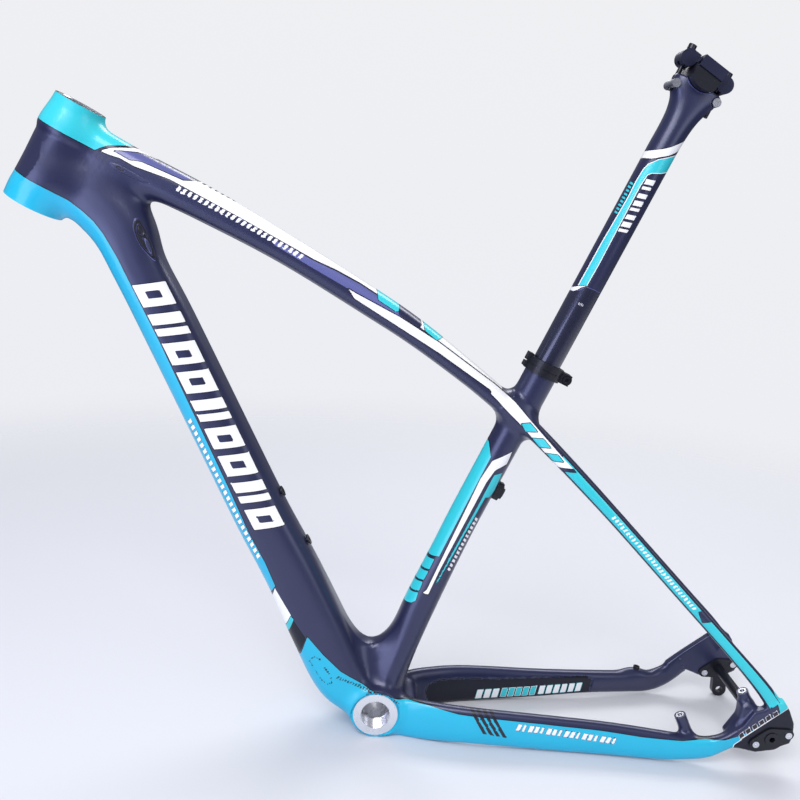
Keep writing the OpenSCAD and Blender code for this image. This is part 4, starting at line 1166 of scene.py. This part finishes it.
# ---------------------------------------------------------------- threads
SHELL_THREAD_START, SHELL_THREAD_PITCH, SHELL_THREADS = 18.2, 1.06, 17
ROOT, CREST = 16.88, 16.35
profile = []
for i in range(SHELL_THREADS):
    start = SHELL_THREAD_START + i * SHELL_THREAD_PITCH
    profile += [[start, ROOT], [start + SHELL_THREAD_PITCH / 2, CREST]]
profile.append([SHELL_THREAD_START + SHELL_THREADS * SHELL_THREAD_PITCH, ROOT])
build("bb_threads", [bore(profile, (0, 0, 0), (0, side, 0), "alloy", 72) for side in (-1, 1)],
      "silver_alloy")

profile = []
for i in range(14):
    profile += [[-15.0 + i, 2.53], [-14.5 + i, 2.2]]
build("brake_insert_threads",
      [bore(profile, foot, POST_DIR, "steel", 32) for foot in BRAKE_POSTS], "steel")

# ---------------------------------------------------------------- pieces kept from the CAD
# Finish, and width of the bevel (0 for none)
KEPT = {
    "headset_seat_upper": ("alloy", 0), "headset_seat_lower": ("alloy", 0),
    "bb_sleeve": ("alloy", 0.35), "dropout_left": ("anodised", 0.5),
    "derailleur_hanger": ("anodised", 0.6), "dropout_screws": ("steel", 0.25),
    "brake_post_inserts": ("steel", 0.2), "cable_stop": ("anodised", 0.5),
    "cable_stop_screws": ("steel", 0.2), "chainstay_port_plug": ("rubber", 0),
    "bottle_rivnuts": ("anodised", 0.3), "seat_clamp": ("anodised", 0.7),
    "seat_clamp_bolt": ("dark_steel", 0), "seat_clamp_nut": ("dark_steel", 0),
    "saddle_cradle": ("anodised", 0.8), "saddle_clamp_top": ("blue_anodised", 1.1),
    "saddle_bolt_front": ("dark_steel", 0.3), "saddle_bolt_rear": ("dark_steel", 0.3),
    "saddle_clamp_nuts": ("steel", 0), "thru_axle": ("anodised", 0.4)}
for name, (look, width) in KEPT.items():
    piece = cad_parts[name]
    piece.data.materials.clear()
    piece.data.materials.append(FINISHES[look])
    if width:
        bevel = piece.modifiers.new("edge", "BEVEL")
        bevel.width = width / 1000
        bevel.segments = 3
        bevel.limit_method = "ANGLE"
        bevel.angle_limit = math.radians(38)
        bevel.harden_normals = True
        bevel.use_clamp_overlap = True


# ---------------------------------------------------------------- stage, light, camera (metres)
def make_floor():
    """A tilted disc that fades out towards its rim."""
    tilt = math.radians(6.9)
    bpy.ops.mesh.primitive_circle_add(vertices=96, radius=3.2, fill_type="NGON")
    floor = bpy.context.object
    floor.name = "floor"
    floor.rotation_euler = (0, -tilt, 0)
    floor.location = Vector((-math.sin(tilt), 0, math.cos(tilt))) * -0.0287
    material, tree, shader = new_material("floor")
    shader.inputs["Roughness"].default_value = 0.55
    shader.inputs["Base Color"].default_value = (0.66, 0.67, 0.71, 1)
    shader.inputs["Specular IOR Level"].default_value = 0.25
    where = add_node(tree, "TexCoord", out="Object")
    radius = add_node(tree, "VectorMath", {0: where}, "Value", operation="LENGTH")
    fade = map_range(tree, radius, start=(0.8, 1.9), interpolation_type="SMOOTHSTEP")
    clear = add_node(tree, "BsdfTransparent")
    surface = add_node(tree, "MixShader", {0: fade, 1: shader.outputs[0], 2: clear})
    tree.links.new(surface, tree.nodes["Material Output"].inputs[0])
    floor.data.materials.append(material)


def make_world():
    """A vertical gradient, different for camera, diffuse and glossy rays."""
    world = bpy.data.worlds.new("world")
    bpy.context.scene.world = world
    world.use_nodes = True
    tree = world.node_tree
    background = tree.nodes["Background"]
    background.inputs["Strength"].default_value = 1.0
    where = add_node(tree, "TexCoord", out="Generated")
    height = map_range(tree, add_node(tree, "SeparateXYZ", {0: where}, "Z"), start=(-0.75, 0.35))

    def ramp(low, middle, high):
        colour = add_node(tree, "ValToRGB", {0: height}, "Color")
        stops = colour.node.color_ramp.elements
        stops[0].position = 0.0
        stops[0].color = (*low, 1)
        stops[1].position = 1.0
        stops[1].color = (*high, 1)
        stops.new(0.45).color = (*middle, 1)
        return colour

    # what the camera sees is darker and bluer towards the bottom: a painted shade standing in for
    # the soft shadow below the frame
    backdrop_with_painted_shade = ramp(low=(0.80, 0.83, 0.91), middle=(0.84, 0.85, 0.90), high=(0.87, 0.875, 0.89))
    soft = ramp(low=(0.50, 0.52, 0.58), middle=(0.34, 0.35, 0.42), high=(0.62, 0.63, 0.66))
    shine = ramp(low=(0.10, 0.11, 0.16), middle=(0.045, 0.05, 0.075), high=(0.26, 0.27, 0.32))
    rays = add_node(tree, "LightPath").node.outputs
    lit = mix_colour(tree, rays["Is Glossy Ray"], soft, shine)
    colour = mix_colour(tree, rays["Is Camera Ray"], lit, backdrop_with_painted_shade)
    tree.links.new(colour, background.inputs["Color"])


def area(name, place, target, size, power, colour=(1, 1, 1)):
    light = bpy.data.lights.new(name, "AREA")
    light.shape = "RECTANGLE"
    light.size, light.size_y = size
    light.energy = power
    light.color = colour
    lamp = bpy.data.objects.new(name, light)
    bpy.context.scene.collection.objects.link(lamp)
    lamp.location = place
    aim = Vector(target) - Vector(place)
    lamp.rotation_euler = aim.to_track_quat("-Z", "Y").to_euler()


def make_camera():
    lens = bpy.data.cameras.new("camera")
    camera = bpy.data.objects.new("camera", lens)
    bpy.context.scene.collection.objects.link(camera)
    lens.sensor_width = 36
    lens.sensor_fit = "HORIZONTAL"
    lens.lens = 40.147
    lens.clip_start = 0.05
    turn = Matrix(((0.98509, -0.15605, -0.07243), (-0.03677, 0.22029, -0.97474),
                   (0.16807, 0.96287, 0.21127)))
    camera.matrix_world = (Matrix.Translation((-0.102265, -0.952429, 0.566949))
                           @ turn.to_quaternion().to_matrix().to_4x4())
    bpy.context.scene.camera = camera


make_floor()
bpy.context.scene.view_settings.view_transform = "Standard"
make_world()
area("key", place=(-0.75, -1.5, 1.75), target=(-0.1, 0, 0.3), size=(1.4, 1.0), power=30,
     colour=(1, 0.99, 1))
area("side", place=(-1.35, -1.45, 0.25), target=(-0.25, 0, 0.35), size=(1.1, 1.2), power=17,
     colour=(0.66, 0.70, 1))
area("fill", place=(1.4, -1.4, 0.9), target=(0.15, 0, 0.25), size=(0.9, 0.9), power=5,
     colour=(0.92, 0.94, 1))
area("rim", place=(0.4, 1.3, 1.8), target=(0, 0, 0.3), size=(1.8, 0.7), power=22)
make_camera()
